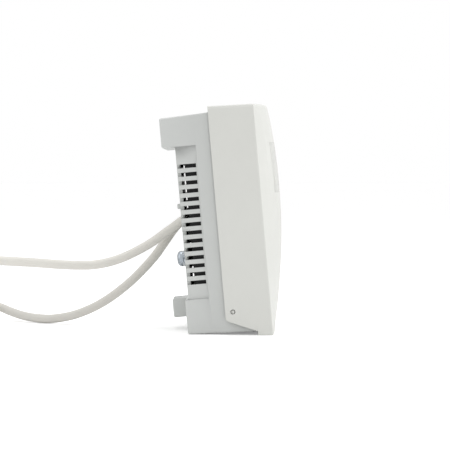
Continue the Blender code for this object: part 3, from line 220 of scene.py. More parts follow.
class Nodes:
    """Short hand for building a material's node tree."""

    def __init__(self, name):
        self.material = bpy.data.materials.new(name)
        self.material.use_nodes = True
        self.tree = self.material.node_tree
        self.shader = self.tree.nodes["Principled BSDF"]

    def add(self, kind, **values):
        made = self.tree.nodes.new(kind)
        for key, value in values.items():
            if key in made.inputs:
                made.inputs[key].default_value = value
            else:
                setattr(made, key, value)
        return made

    def link(self, source, target):
        self.tree.links.new(source, target)

    def place(self):
        return self.add("ShaderNodeTexCoord").outputs["Object"]

    def noise(self, scale, detail=2.0, roughness=0.5):
        made = self.add("ShaderNodeTexNoise", Scale=scale, Detail=detail, Roughness=roughness)
        self.link(self.place(), made.inputs["Vector"])
        return made.outputs["Fac"]

    def cells(self, scale, metric="CHEBYCHEV"):
        made = self.add("ShaderNodeTexVoronoi", Scale=scale, distance=metric)
        self.link(self.place(), made.inputs["Vector"])
        return made.outputs["Distance"]

    def stripes(self, scale, direction):
        made = self.add("ShaderNodeTexWave", Scale=scale, Distortion=0.4, Detail=1.0)
        made.bands_direction = direction
        self.link(self.place(), made.inputs["Vector"])
        return made.outputs["Fac"]

    def across(self):
        """Distance from the timer's middle plane."""
        split = self.add("ShaderNodeSeparateXYZ")
        self.link(self.place(), split.inputs["Vector"])
        made = self.add("ShaderNodeMath", operation="ABSOLUTE")
        self.link(split.outputs["X"], made.inputs[0])
        return made.outputs["Value"]

    def maths(self, operation, first, second):
        made = self.add("ShaderNodeMath", operation=operation)
        self.link(first, made.inputs[0])
        if isinstance(second, (int, float)):
            made.inputs[1].default_value = second
        else:
            self.link(second, made.inputs[1])
        return made.outputs["Value"]

    def span(self, source, low, high, start=0.3, end=0.7):
        made = self.add("ShaderNodeMapRange")
        made.inputs["From Min"].default_value = start
        made.inputs["From Max"].default_value = end
        made.inputs["To Min"].default_value = low
        made.inputs["To Max"].default_value = high
        self.link(source, made.inputs["Value"])
        return made.outputs["Result"]

    def tint(self, source, dark, light):
        """A colour between two, each a plain colour or another socket."""
        made = self.add("ShaderNodeMix", data_type="RGBA")
        colours = [socket for socket in made.inputs if socket.type == "RGBA"]
        for socket, colour in zip(colours, (dark, light)):
            if isinstance(colour, bpy.types.NodeSocket):
                self.link(colour, socket)
            else:
                socket.default_value = (*colour, 1)
        self.link(source, made.inputs["Factor"])
        return next(socket for socket in made.outputs if socket.type == "RGBA")

    def colour(self, source):
        self.link(source, self.shader.inputs["Base Color"])

    def gloss(self, scale, low, high):
        self.link(self.span(self.noise(scale, 3.0), low, high), self.shader.inputs["Roughness"])

    def bump(self, height, strength, distance):
        made = self.add("ShaderNodeBump", Strength=strength, Distance=distance)
        self.link(height, made.inputs["Height"])
        self.link(made.outputs["Normal"], self.shader.inputs["Normal"])


def shaded(colour, share):
    """A colour made darker or lighter."""
    return tuple(min(1.0, value * share) for value in colour)


def moulded(name, colour, roughness=0.45, grain=0.45 * MM, depth=0.02 * MM, vary=0.03):
    """Moulded plastic: fine spark grain, faint flow marks and dust in its colour, and uneven gloss."""
    made = Nodes(name)
    flow = made.tint(made.noise(38.0, 3.0), shaded(colour, 1 - vary), shaded(colour, 1 + vary))
    dust = made.span(made.noise(260.0, 5.0, 0.7), 0.0, 0.3, 0.55, 0.8)
    made.colour(made.tint(dust, flow, shaded(colour, 0.93)))
    made.gloss(120.0, roughness - 0.06, roughness + 0.06)
    made.bump(made.noise(1.0 / grain, 2.0, 0.6), 0.35, depth)
    return made.material


def metal(name, colour, roughness=0.28):
    """Plated metal with fine scuffs."""
    made = Nodes(name)
    made.shader.inputs["Metallic"].default_value = 1.0
    made.colour(made.tint(made.noise(420.0, 4.0), shaded(colour, 0.86), shaded(colour, 1.08)))
    made.gloss(900.0, roughness - 0.08, roughness + 0.1)
    made.bump(made.noise(2600.0), 0.2, 0.01 * MM)
    return made.material


def sheath(name, colour, depth=0.03 * MM):
    """Flexible sheath: soft sheen, slight draw marks and handling marks."""
    made = Nodes(name)
    patch = made.tint(made.noise(70.0, 4.0), shaded(colour, 0.95), shaded(colour, 1.04))
    smear = made.span(made.noise(190.0, 5.0, 0.7), 0.0, 0.35, 0.55, 0.8)
    made.colour(made.tint(smear, patch, shaded(colour, 0.88)))
    made.gloss(300.0, 0.42, 0.58)
    made.bump(made.noise(1400.0, 3.0), 0.25, depth)
    return made.material


def woven(name, colour):
    """Woven band: fine threads both ways and a little fuzz."""
    made = Nodes(name)
    thread = made.maths("MULTIPLY", made.stripes(520.0, "DIAGONAL"), made.stripes(520.0, "Z"))
    made.colour(made.tint(thread, shaded(colour, 0.5), shaded(colour, 2.2)))
    made.gloss(700.0, 0.75, 0.95)
    made.shader.inputs["Sheen Weight"].default_value = 0.3
    made.bump(thread, 0.6, 0.12 * MM)
    return made.material


def laminate(name, mask, copper):
    """Solder mask over copper: square lands and tracks show lighter and slightly raised."""
    made = Nodes(name)
    tracks = made.span(made.cells(210.0), 1.0, 0.0, 0.30, 0.36)
    lands = made.span(made.cells(90.0, "EUCLIDEAN"), 1.0, 0.0, 0.14, 0.17)
    raised = made.maths("MAXIMUM", tracks, lands)
    coat = made.tint(made.noise(300.0), shaded(mask, 0.85), shaded(mask, 1.1))
    made.colour(made.tint(raised, coat, copper))
    made.gloss(500.0, 0.22, 0.4)
    made.bump(raised, 0.5, 0.04 * MM)
    return made.material


def stacked_core(name, steel, tape, edge):
    """Stacked steel plates in the middle, wound tape beyond them on both sides."""
    made = Nodes(name)
    plates = made.stripes(320.0, "Y")
    winding = made.stripes(190.0, "Z")
    beyond = made.maths("GREATER_THAN", made.across(), edge)
    plate_colour = made.tint(plates, shaded(steel, 0.6), shaded(steel, 1.3))
    tape_colour = made.tint(winding, shaded(tape, 0.8), shaded(tape, 1.1))
    made.colour(made.tint(beyond, plate_colour, tape_colour))
    made.gloss(400.0, 0.35, 0.55)
    made.bump(plates, 0.5, 0.08 * MM)
    return made.material


def sleeved(name, sleeve, mark):
    """Shrunk sleeve with a paler band down one side."""
    made = Nodes(name)
    split = made.add("ShaderNodeSeparateXYZ")
    made.link(made.place(), split.inputs["Vector"])
    band = made.maths("GREATER_THAN", split.outputs["X"], 30.5 * MM)
    shell = made.tint(made.noise(220.0, 3.0), shaded(sleeve, 0.85), shaded(sleeve, 1.15))
    made.colour(made.tint(band, shell, mark))
    made.gloss(400.0, 0.2, 0.32)
    made.bump(made.noise(900.0), 0.15, 0.02 * MM)
    return made.material


def display_face(name, field):
    """Reflective display: pale field with a fine grid of cells."""
    made = Nodes(name)
    grid = made.span(made.cells(1600.0), 0.0, 1.0, 0.35, 0.5)
    cloud = made.tint(made.noise(60.0, 2.0), shaded(field, 0.94), shaded(field, 1.05))
    made.colour(made.tint(grid, cloud, shaded(field, 0.9)))
    made.gloss(300.0, 0.06, 0.14)
    made.shader.inputs["Coat Weight"].default_value = 0.4
    made.bump(grid, 0.1, 0.01 * MM)
    return made.material


def milky(name, colour):
    """Milky moulded plastic that lets some light through, with fine scratches and uneven gloss."""
    made = Nodes(name)
    made.shader.inputs["Transmission Weight"].default_value = 0.22
    made.shader.inputs["IOR"].default_value = 1.5
    made.colour(made.tint(made.noise(50.0, 3.0), shaded(colour, 1.06), shaded(colour, 1.12)))
    made.gloss(500.0, 0.28, 0.4)
    made.bump(made.noise(1800.0, 4.0), 0.1, 0.01 * MM)
    return made.material


def smooth(points, step):
    """Points about a step apart on a smooth curve through a route's own points."""
    ends = [2 * points[0] - points[1], *points, 2 * points[-1] - points[-2]]
    fine = []
    parts = 24
    for a, b, c, d in zip(ends, ends[1:], ends[2:], ends[3:]):
        for part in range(parts):
            t = part / parts
            fine.append(0.5 * (
                2 * b + (c - a) * t + (2 * a - 5 * b + 4 * c - d) * t ** 2
                + (3 * b - a - 3 * c + d) * t ** 3
            ))
    fine.append(points[-1])
    along = [0.0]
    for a, b in zip(fine, fine[1:]):
        along.append(along[-1] + (b - a).length)
    count = max(2, round(along[-1] / step))
    result, at = [], 0
    for index in range(count + 1):
        goal = along[-1] * index / count
        while at < len(along) - 2 and along[at + 1] < goal:
            at += 1
        share = (goal - along[at]) / max(along[at + 1] - along[at], 1e-9)
        result.append(fine[at].lerp(fine[at + 1], min(share, 1.0)))
    return result


def clamp_height():
    """Height of the leads' middles in their clamp."""
    return LEAD_HEIGHT + LEAD_BEND * (1 - math.cos(LEAD_SLOPE))


def held_points(side):
    """A lead's middle inside the timer: level in its clamp, then bending down to the wall."""
    top = clamp_height()
    start = LEAD_EXIT + LEAD_BEND * math.sin(LEAD_SLOPE)
    places = [(LEAD_INNER_END, top)]
    steps = 4
    for step in range(steps + 1):
        angle = LEAD_SLOPE * step / steps
        places.append((start - LEAD_BEND * math.sin(angle), top - LEAD_BEND * (1 - math.cos(angle))))
    return [upright(side * LEAD_OFFSET, forward, up) for forward, up in places]


def coil_points(facts, thick):
    """A coil's middle: in on the upper layer, down a layer, and out on the lower one."""
    centre = Vector((facts["centre"][0] * MM, facts["centre"][1] * MM, 0))
    turns = COIL_LAYER_TURNS + 0.5 + facts["last_turns"]
    inner = COIL_OUTER - COIL_LAYER_TURNS * COIL_PITCH
    count = round(turns * POINTS_A_LOOP)
    points = []
    for index in range(count + 1):
        at = turns * index / count
        climb = min(max((at - COIL_LAYER_TURNS) / 0.5, 0.0), 1.0)
        if at <= COIL_LAYER_TURNS:
            radius = COIL_OUTER - at * COIL_PITCH
        else:
            radius = inner + max(at - COIL_LAYER_TURNS - 0.5, 0.0) * COIL_PITCH
        radius -= COIL_DIP * math.sin(math.pi * climb)
        height = COIL_LIFT + COIL_PITCH * (1 + math.cos(math.pi * climb)) / 2
        angle = math.radians(facts["start"] + facts["turn"] * 360 * at)
        points.append(centre + Vector((radius * math.cos(angle), radius * math.sin(angle), height)))
    start = math.radians(facts["start"])
    end = math.radians(facts["start"] + facts["turn"] * 360 * turns)
    lead_in = facts["turn"] * Vector((-math.sin(start), math.cos(start), 0))
    lead_out = facts["turn"] * Vector((-math.sin(end), math.cos(end), 0))
    return [points[0] - thick * lead_in, *points, points[-1] + thick * lead_out], lead_in


def tube(name, points, radius, material, sides=6):
    """A smooth round tube on one open spline."""
    curve = bpy.data.curves.new(name, "CURVE")
    curve.dimensions = "3D"
    curve.bevel_depth = radius
    curve.bevel_resolution = sides
    curve.use_fill_caps = True
    curve.resolution_u = 1
    spline = curve.splines.new("POLY")
    spline.points.add(len(points) - 1)
    for point, place in zip(spline.points, points):
        point.co = (*place, 1)
    spline.use_smooth = True
    curve.materials.append(material)
    return add_object(name, curve)


def soften(mesh, angle):
    """Shade a mesh smooth except at its sharp edges."""
    for face in mesh.polygons:
        face.use_smooth = True
    mesh.set_sharp_from_angle(angle=math.radians(angle))


def skin(node, body, material, angle=32.0):
    """A softly shaded copy of a node's shape, in the node's place."""
    form = bmesh.new()
    form.from_mesh(node_object(node).data)
    bmesh.ops.remove_doubles(form, verts=form.verts, dist=1e-6)
    mesh = bpy.data.meshes.new(f"{node}_skin")
    form.to_mesh(mesh)
    form.free()
    soften(mesh, angle)
    mesh.materials.clear()
    mesh.materials.append(material)
    made = add_object(mesh.name, mesh, body)
    weighted = made.modifiers.new("even_shading", "WEIGHTED_NORMAL")
    weighted.keep_sharp = True
    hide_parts(node)
    return made


def turned(name, profile, place, direction, material, segments=28, body="housing"):
    """A turned piece: (along, radius) points spun about a line from a place."""
    form = bmesh.new()
    turn = Vector(direction).to_track_quat("Z", "Y").to_matrix().to_4x4()
    matrix = Matrix.Translation(place) @ turn
    rings = []
    for along, radius in profile:
        ring = []
        for index in range(segments):
            angle = 2 * math.pi * index / segments
            spot = Vector((radius * math.cos(angle), radius * math.sin(angle), along))
            ring.append(form.verts.new(matrix @ spot))
        rings.append(ring)
    for a, b in zip(rings, rings[1:]):
        for index in range(segments):
            after = (index + 1) % segments
            form.faces.new((a[index], a[after], b[after], b[index]))
    form.faces.new(list(reversed(rings[0])))
    form.faces.new(rings[-1])
    bmesh.ops.recalc_face_normals(form, faces=form.faces)
    mesh = bpy.data.meshes.new(name)
    form.to_mesh(mesh)
    form.free()
    soften(mesh, 38.0)
    mesh.materials.append(material)
    return add_object(name, mesh, body)


def carve_cross(target, centre, direction, across, arm, slim, depth):
    """Cut a cross recess into a screw's head and keep only the result."""
    forward = Vector(direction).normalized()
    side = Vector(across).normalized()
    beside = forward.cross(side)
    for long_way, short_way in ((side, beside), (beside, side)):
        form = bmesh.new()
        bmesh.ops.create_cube(form, size=2)
        basis = Matrix((long_way, short_way, forward)).transposed().to_4x4()
        form.transform(Matrix.Translation(centre) @ basis @ Matrix.Diagonal((arm, slim, depth, 1)))
        for vert in form.verts:
            if (vert.co - Vector(centre)).dot(forward) > 0:
                offset = vert.co - Vector(centre)
                vert.co -= 0.45 * (offset.dot(long_way) * long_way + 0.6 * offset.dot(short_way) * short_way)
        form.normal_update()
        bmesh.ops.recalc_face_normals(form, faces=form.faces)
        mesh = bpy.data.meshes.new("cross")
        form.to_mesh(mesh)
        form.free()
        tool = bpy.data.objects.new("cross", mesh)
        bpy.context.scene.collection.objects.link(tool)
        modifier = target.modifiers.new("cross", "BOOLEAN")
        modifier.object = tool
        modifier.solver = "EXACT"
        graph = bpy.context.evaluated_depsgraph_get()
        result = bpy.data.meshes.new_from_object(target.evaluated_get(graph))
        target.modifiers.remove(modifier)
        target.data = result
        bpy.data.objects.remove(tool)
        bpy.data.meshes.remove(mesh)
    soften(target.data, 38.0)


def screw_profile(seat_to_tip, shank, head, thick, pitch=0.8 * MM):
    """Along and radius points of a pan-head screw from its tip to the crown of its head."""
    profile = [(0.0, 0.4 * shank), (0.8 * shank, 0.86 * shank)]
    along = 0.8 * shank
    while along + pitch < seat_to_tip - 0.5 * pitch:
        profile.append((along + 0.5 * pitch, shank))
        profile.append((along + pitch, 0.86 * shank))
        along += pitch
    profile.append((seat_to_tip, 0.86 * shank))
    profile.append((seat_to_tip, head))
    for share in (0.0, 0.25, 0.5, 0.75, 1.0):
        angle = math.radians(78 * share)
        radius = head * (0.30 + 0.70 * math.cos(angle))
        rise = seat_to_tip + thick * (0.30 + 0.70 * math.sin(angle) / math.sin(math.radians(78)))
        profile.append((rise, radius))
    return profile


def screw(node, tip, direction, sizes, material, across):
    """A pan-head screw with a thread and a cross recess, in a node's place."""
    seat_to_tip, _, head, thick = sizes
    way = Vector(direction).normalized()
    profile = screw_profile(*sizes)
    made = turned(f"{node}_turned", profile, tip, way, material)
    crown = Vector(tip) + way * (seat_to_tip + thick)
    carve_cross(made, crown, -way, across, 0.58 * head, 0.13 * head, 0.55 * thick)
    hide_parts(node)
    return made


def prisms(name, outlines, forward, thick, material, body="housing"):
    """Flat outlines of (across, up) points, raised from a forward place of the timer's own frame."""
    form = bmesh.new()
    for outline in outlines:
        low = [form.verts.new(upright(x, forward, z)) for x, z in outline]
        middle = Vector((sum(x for x, _ in outline), sum(z for _, z in outline))) / len(outline)
        top = []
        for x, z in outline:
            drawn = middle + 0.94 * (Vector((x, z)) - middle)
            top.append(form.verts.new(upright(drawn.x, forward + thick, drawn.y)))
        form.faces.new(top)
        form.faces.new(list(reversed(low)))
        for index in range(len(outline)):
            after = (index + 1) % len(outline)
            form.faces.new((low[index], low[after], top[after], top[index]))
    form.normal_update()
    bmesh.ops.recalc_face_normals(form, faces=form.faces)
    mesh = bpy.data.meshes.new(name)
    form.to_mesh(mesh)
    form.free()
    mesh.materials.append(material)
    return add_object(name, mesh, body)


def rectangle(left, right, low, high):
    """Corners of a rectangle, as (across, up) points."""
    return [(left, low), (right, low), (right, high), (left, high)]


def segment_outlines(digit, x, z, width, height, thick):
    """Hexagons of a seven-part digit with its lower left corner at a place."""
    lit = {
        0: "abcdef", 1: "bc", 2: "abdeg", 3: "abcdg", 4: "bcfg", 5: "acdfg", 6: "acdefg", 7: "abc",
        8: "abcdefg", 9: "abcdfg",
    }[digit]
    half, slim, gap = height / 2, thick / 2, 0.12 * thick
    lines = {
        "a": ((0, height), (width, height)), "g": ((0, half), (width, half)), "d": ((0, 0), (width, 0)),
        "f": ((0, half), (0, height)), "b": ((width, half), (width, height)),
        "e": ((0, 0), (0, half)), "c": ((width, 0), (width, half)),
    }
    outlines = []
    for part in lit:
        (ax, az), (bx, bz) = lines[part]
        if az == bz:
            a, b = ax + gap, bx - gap
            points = [
                (a, 0), (a + slim, -slim), (b - slim, -slim),
                (b, 0), (b - slim, slim), (a + slim, slim),
            ]
            outlines.append([(x + u, z + az + v) for u, v in points])
        else:
            a, b = az + gap, bz - gap
            points = [
                (0, a), (slim, a + slim), (slim, b - slim),
                (0, b), (-slim, b - slim), (-slim, a + slim),
            ]
            outlines.append([(x + ax + u, z + v) for u, v in points])
    return outlines


def tie_band(name, facts, thick, material):
    """A woven band round the turns of a coil, with its end lapped over the top."""
    inner = COIL_OUTER - COIL_LAYER_TURNS * COIL_PITCH
    upper_near = COIL_OUTER - (COIL_LAYER_TURNS - 1 + TIE_SHARE) * COIL_PITCH
    near = min(upper_near, inner + (TIE_SHARE - 0.5) * COIL_PITCH)
    far = max(COIL_OUTER - TIE_SHARE * COIL_PITCH, inner + (TIE_SHARE + 0.5) * COIL_PITCH)
    room = thick / 2 + 2 * FIT
    low, high = COIL_LIFT - thick / 2 - FIT, COIL_LIFT + COIL_PITCH + thick / 2 + FIT
    corner = 0.8 * thick / 2
    rounds = (
        (far + room - corner, low + corner, -90), (far + room - corner, high - corner, 0),
        (near - room + corner, high - corner, 90), (near - room + corner, low + corner, 180),
    )
    path = []
    for across, up, begin in rounds:
        for step in range(7):
            angle = math.radians(begin + 15 * step)
            path.append((Vector((across, up)) + corner * Vector((math.cos(angle), math.sin(angle))), angle))
    turn = Matrix.Rotation(math.radians(facts["start"] + facts["turn"] * 360 * TIE_SHARE), 4, "Z")
    place = Matrix.Translation((facts["centre"][0] * MM, facts["centre"][1] * MM, 0)) @ turn
    half, form = TIE_WIDTH / 2, bmesh.new()
    section = ((-half, 0.15), (-0.94 * half, 0.0), (0.94 * half, 0.0), (half, 0.15), (half, 0.85),
               (0.94 * half, 1.0), (-0.94 * half, 1.0), (-half, 0.85))

    def sweep(stations, lift, closed):
        rings = []
        for point, angle in stations:
            out = Vector((math.cos(angle), math.sin(angle)))
            ring = []
            for along, share in section:
                at = point + (lift + share * TIE_THICK) * out
                ring.append(form.verts.new(place @ Vector((at.x, -along, at.y))))
            rings.append(ring)
        pairs = list(zip(rings, rings[1:])) + ([(rings[-1], rings[0])] if closed else [])
        for a, b in pairs:
            for index in range(len(section)):
                after = (index + 1) % len(section)
                form.faces.new((a[index], a[after], b[after], b[index]))
        if not closed:
            form.faces.new(rings[0])
            form.faces.new(list(reversed(rings[-1])))

    sweep(path, 0.0, True)
    top = [(point, angle) for point, angle in path if point.y > high - 0.5 * corner]
    sweep(top[2:-1], TIE_THICK, False)
    form.normal_update()
    bmesh.ops.recalc_face_normals(form, faces=form.faces)
    mesh = bpy.data.meshes.new(name)
    form.to_mesh(mesh)
    form.free()
    soften(mesh, 40.0)
    mesh.materials.append(material)
    return add_object(name, mesh)


def ferrule_profile():
    """Funnel collar and crimped pin of a ferrule."""
    pin = FERRULE_PIN
    profile = [
        (0.0, 0.7 * FERRULE_COLLAR), (0.05 * MM, FERRULE_COLLAR), (0.5 * MM, FERRULE_COLLAR),
        (1.6 * MM, 0.86 * FERRULE_COLLAR), (3.4 * MM, 1.25 * pin), (3.6 * MM, 1.2 * pin), (3.65 * MM, pin),
    ]
    for ring in range(5):
        along = (4.2 + 0.9 * ring) * MM
        profile += [(along, pin), (along + 0.1 * MM, 0.86 * pin), (along + 0.4 * MM, 0.86 * pin)]
        profile.append((along + 0.5 * MM, pin))
    return [*profile, (FERRULE_LENGTH - 0.2 * MM, pin), (FERRULE_LENGTH, 0.75 * pin)]


def stripped_end(name, wound, finishes, collar, zinc):
    """Two stripped cores beyond a lead's sheath, each with its ferrule."""
    ahead = (wound[-1] - wound[-2]).normalized()
    beside = ahead.cross(Vector((0, 0, 1)))
    drop = COIL_LIFT - FERRULE_COLLAR - FIT
    pieces = []
    for (colour, finish), side in zip(finishes.items(), (-1, 1)):
        root = wound[-1] + FIT * ahead + side * CORE_SPACING * beside
        spread = side * 0.6 * CORE_RADIUS * beside
        line = []
        for share in (0.0, 0.15, 0.4, 0.7, 1.0):
            ease = share * share * (3 - 2 * share)
            line.append(root + share * TAIL_LENGTH * ahead + ease * spread - ease * drop * Vector((0, 0, 1)))
        core = tube(f"{name}_tail_{colour}", smooth(line, 1.5 * MM), CORE_RADIUS, finish, 4)
        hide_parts(f"{name}_core_{colour}")
        start = line[-1] + FIT * ahead
        ferrule = turned(f"{name}_crimp_{colour}", ferrule_profile(), start, ahead, collar, 20)
        ferrule.data.materials.append(zinc)
        for face in ferrule.data.polygons:
            along = (face.center - start).dot(ahead)
            face.material_index = 1 if along > 3.62 * MM else 0
        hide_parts(f"{name}_ferrule_{colour}")
        pieces += [core, ferrule]
    return pieces


class TIMER_OT_leads(bpy.types.Operator):
    """Lay both leads: out of the back, along the table, and into their tied coils"""

    bl_idname = "timer_look.leads"
    bl_label = "Lay the leads"

    def execute(self, context):
        settings = look(context)
        thick = settings.lead_diameter
        sheaths = {
            "supply": sheath("supply_sheath", settings.sheath_colour),
            # Painted shade: the load lead is the same flex as the supply lead, but its sheath colour is made
            # darker (0.86) to stand in for the shade it lies in.
            "load": sheath("load_sheath_painted_shade", shaded(settings.sheath_colour, 0.86)),
        }
        band = woven("tie_weave", (0.015, 0.015, 0.016))
        collar = moulded("ferrule_collar", (0.35, 0.36, 0.37), 0.4, 0.2 * MM)
        pin = metal("ferrule_tin", (0.66, 0.66, 0.64), 0.32)
        cores = {
            "brown": sheath("core_brown", (0.16, 0.06, 0.02), 0.01 * MM),
            "blue": sheath("core_blue", (0.02, 0.10, 0.42), 0.01 * MM),
        }
        for name, facts in LEADS.items():
            held = held_points(facts["side"])
            wound, into = coil_points(facts, thick)
            route = [Vector(point) * MM for point in facts["route"]]
            free = smooth([held[-1], *route, wound[0] - thick * into], ROUTE_STEP)
            path = [*held[:-1], *free, *wound]
            made = tube(f"{name}_flex", path, thick / 2, sheaths[name], settings.lead_sides)
            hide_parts(f"{name}_lead", f"{name}_coil")
            tie = tie_band(f"{name}_band", facts, thick, band)
            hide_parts(f"{name}_tie")
            on_it = [tie, *stripped_end(name, wound, cores, collar, pin)]
        self.inner_wires(cores)
        return {"FINISHED"}

    def inner_wires(self, cores):
        """Core wires from the inner ends of the leads into the terminal block."""
        top = clamp_height()
        starts = (
            ("supply", -1, "brown", -1), ("supply", -1, "blue", 1),
            ("load", 1, "brown", -1), ("load", 1, "blue", 1),
        )
        for (lead, side, colour, beside), x in zip(starts, TERMINAL_XS):
            root = side * LEAD_OFFSET + beside * CORE_SPACING
            line = (
                (root, LEAD_INNER_END + 3 * FIT, top),
                (root, LEAD_INNER_END + 2.0 * MM, top),
                (root, WIRE_BEND, top - 2.0 * MM),
                (0.8 * root + 0.2 * x, WIRE_BEND, top - 9.0 * MM),
                ((root + x) / 2, WIRE_BEND - 1.5 * MM, (top + TERMINAL_TOP) / 2),
                (x, TERMINAL_MIDDLE, TERMINAL_TOP + 4.0 * MM),
                (x, TERMINAL_MIDDLE, TERMINAL_TOP),
                (x, TERMINAL_MIDDLE, TERMINAL_DEEP),
            )
            points = smooth([upright(*point) for point in line], 1.2 * MM)
            made = tube(f"{lead}_conductor_{colour}", points, CORE_RADIUS, cores[colour], 4)
            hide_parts(f"{lead}_wire_{colour}")


class TIMER_OT_shells(bpy.types.Operator):
    """Dress the moulded housing, the cover, its pins and the grommet"""

    bl_idname = "timer_look.shells"
    bl_label = "Dress the shells"

    def execute(self, context):
        settings = look(context)
        housing = moulded("housing_plastic", settings.housing_colour, 0.42, settings.grain)
        cover = moulded("cover_plastic", settings.cover_colour, 0.4, settings.grain)
        pin = moulded("pin_plastic", shaded(settings.cover_colour, 0.95), 0.36, settings.grain)
        skin("rear_housing", "housing", housing)
        skin("cable_grommet", "housing", housing)
        skin("front_cover", "cover", cover, 9.0)
        pane_plastic = milky("window_plastic", settings.cover_colour)
        pane = skin("display_window", "cover", pane_plastic)
        self.seat(pane)
        for side in ("left", "right"):
            skin(f"hinge_pin_{side}", "housing", pin)
        return {"FINISHED"}

    def seat(self, pane):
        """Let the pane fill its opening in the cover, but for a hair line."""
        corners = [vert.co for vert in pane.data.vertices]
        low = Vector((min(corner[axis] for corner in corners) for axis in range(3)))
        high = Vector((max(corner[axis] for corner in corners) for axis in range(3)))
        middle = (low + high) / 2
        grow = FIT - HAIR_LINE
        for vert in pane.data.vertices:
            for axis in (0, 2):
                half = (high[axis] - low[axis]) / 2
                vert.co[axis] += grow * (vert.co[axis] - middle[axis]) / half


class TIMER_OT_screws(bpy.types.Operator):
    """Turn the screws: the zinc one on the back, four on the panel and two on the clamp"""

    bl_idname = "timer_look.screws"
    bl_label = "Turn the screws"

    def execute(self, context):
        zinc = metal("zinc_plate", (0.40, 0.44, 0.48), 0.24)
        back = STAND.to_3x3() @ Vector((0, 1, 0))
        side, up = Vector((1, 0, 0)), STAND.to_3x3() @ Vector((0, 0, 1))
        tip = upright(SCREW_X, SCREW_SEAT + REAR_SCREW[0], SCREW_HEIGHT)
        screw("rear_screw", tip, back, REAR_SCREW, zinc, side + 0.35 * up)
        skin("rear_washer", "housing", zinc)
        for level, height in POST_HEIGHTS.items():
            for name, x in (("left", -POST_X), ("right", POST_X)):
                tip = upright(x, PANEL_FRONT + FIT - PANEL_SCREW[0], height)
                turn = side + (0.5 if name == "left" else -0.25) * up
                screw(f"panel_screw_{level}_{name}", tip, -back, PANEL_SCREW, zinc, turn)
        for name, x in (("left", -CLAMP_SCREW_X), ("right", CLAMP_SCREW_X)):
            tip = upright(x, CLAMP_MIDDLE, CLAMP_TOP - CLAMP_SCREW[0])
            screw(f"clamp_screw_{name}", tip, up, CLAMP_SCREW, zinc, side + 0.2 * back)
        return {"FINISHED"}


class TIMER_OT_electronics(bpy.types.Operator):
    """Dress the tray, the boards and the parts on them"""

    bl_idname = "timer_look.electronics"
    bl_label = "Dress the electronics"

    def execute(self, context):
        grain = look(context).grain
        black = moulded("black_plastic", (0.010, 0.010, 0.011), 0.55, grain)
        case = moulded("relay_plastic", (0.03, 0.03, 0.035), 0.28, 0.3 * MM, 0.01 * MM)
        grey = moulded("grey_plastic", (0.42, 0.43, 0.42), 0.5, grain)
        steel = metal("cell_steel", (0.63, 0.63, 0.62), 0.24)
        board = laminate("solder_mask", (0.012, 0.11, 0.04), (0.05, 0.24, 0.09))
        core = stacked_core("stacked_core", (0.09, 0.09, 0.095), (0.55, 0.42, 0.06), 15.2 * MM)
        can = sleeved("capacitor_sleeve", (0.02, 0.05, 0.22), (0.45, 0.47, 0.5))
        for node, finish, slot in (
            ("chassis_tray", black, "chassis_black"), ("main_board", board, "board_green"),
            ("display_board", board, "board_green"), ("transformer", core, "chassis_black"),
            ("relay", case, "relay_case"), ("capacitor", can, "capacitor_blue"),
            ("backup_cell", steel, "zinc"),
            ("terminal_block", grey, "terminal_grey"), ("clamp_bar", grey, "terminal_grey"),
            ("mode_switch", black, "chassis_black"),
        ):
            skin(node, "housing", finish)
        for number in range(1, 5):
            skin(f"tact_switch_{number}", "housing", black)
        brass = metal("terminal_brass", (0.62, 0.48, 0.22), 0.3)
        back = STAND.to_3x3() @ Vector((0, 1, 0))
        side = Vector((1, 0, 0))
        for index, x in enumerate(TERMINAL_XS):
            seat = TERMINAL_REAR + TERMINAL_WELL_DEPTH - 0.1 * MM
            foot = upright(x, seat, TERMINAL_WELL_HEIGHT)
            profile = [(0.0, 1.9 * MM), (0.9 * MM, 1.9 * MM), (1.2 * MM, 1.6 * MM), (1.3 * MM, 0.5 * MM)]
            made = turned(f"terminal_screw_{index + 1}", profile, foot, back, brass, 20)
            crown = foot + 1.3 * MM * back
            turn = side + 0.3 * index * Vector((0, 0, 1))
            carve_cross(made, crown, -back, turn, 1.3 * MM, 0.25 * MM, 0.6 * MM)
        return {"FINISHED"}


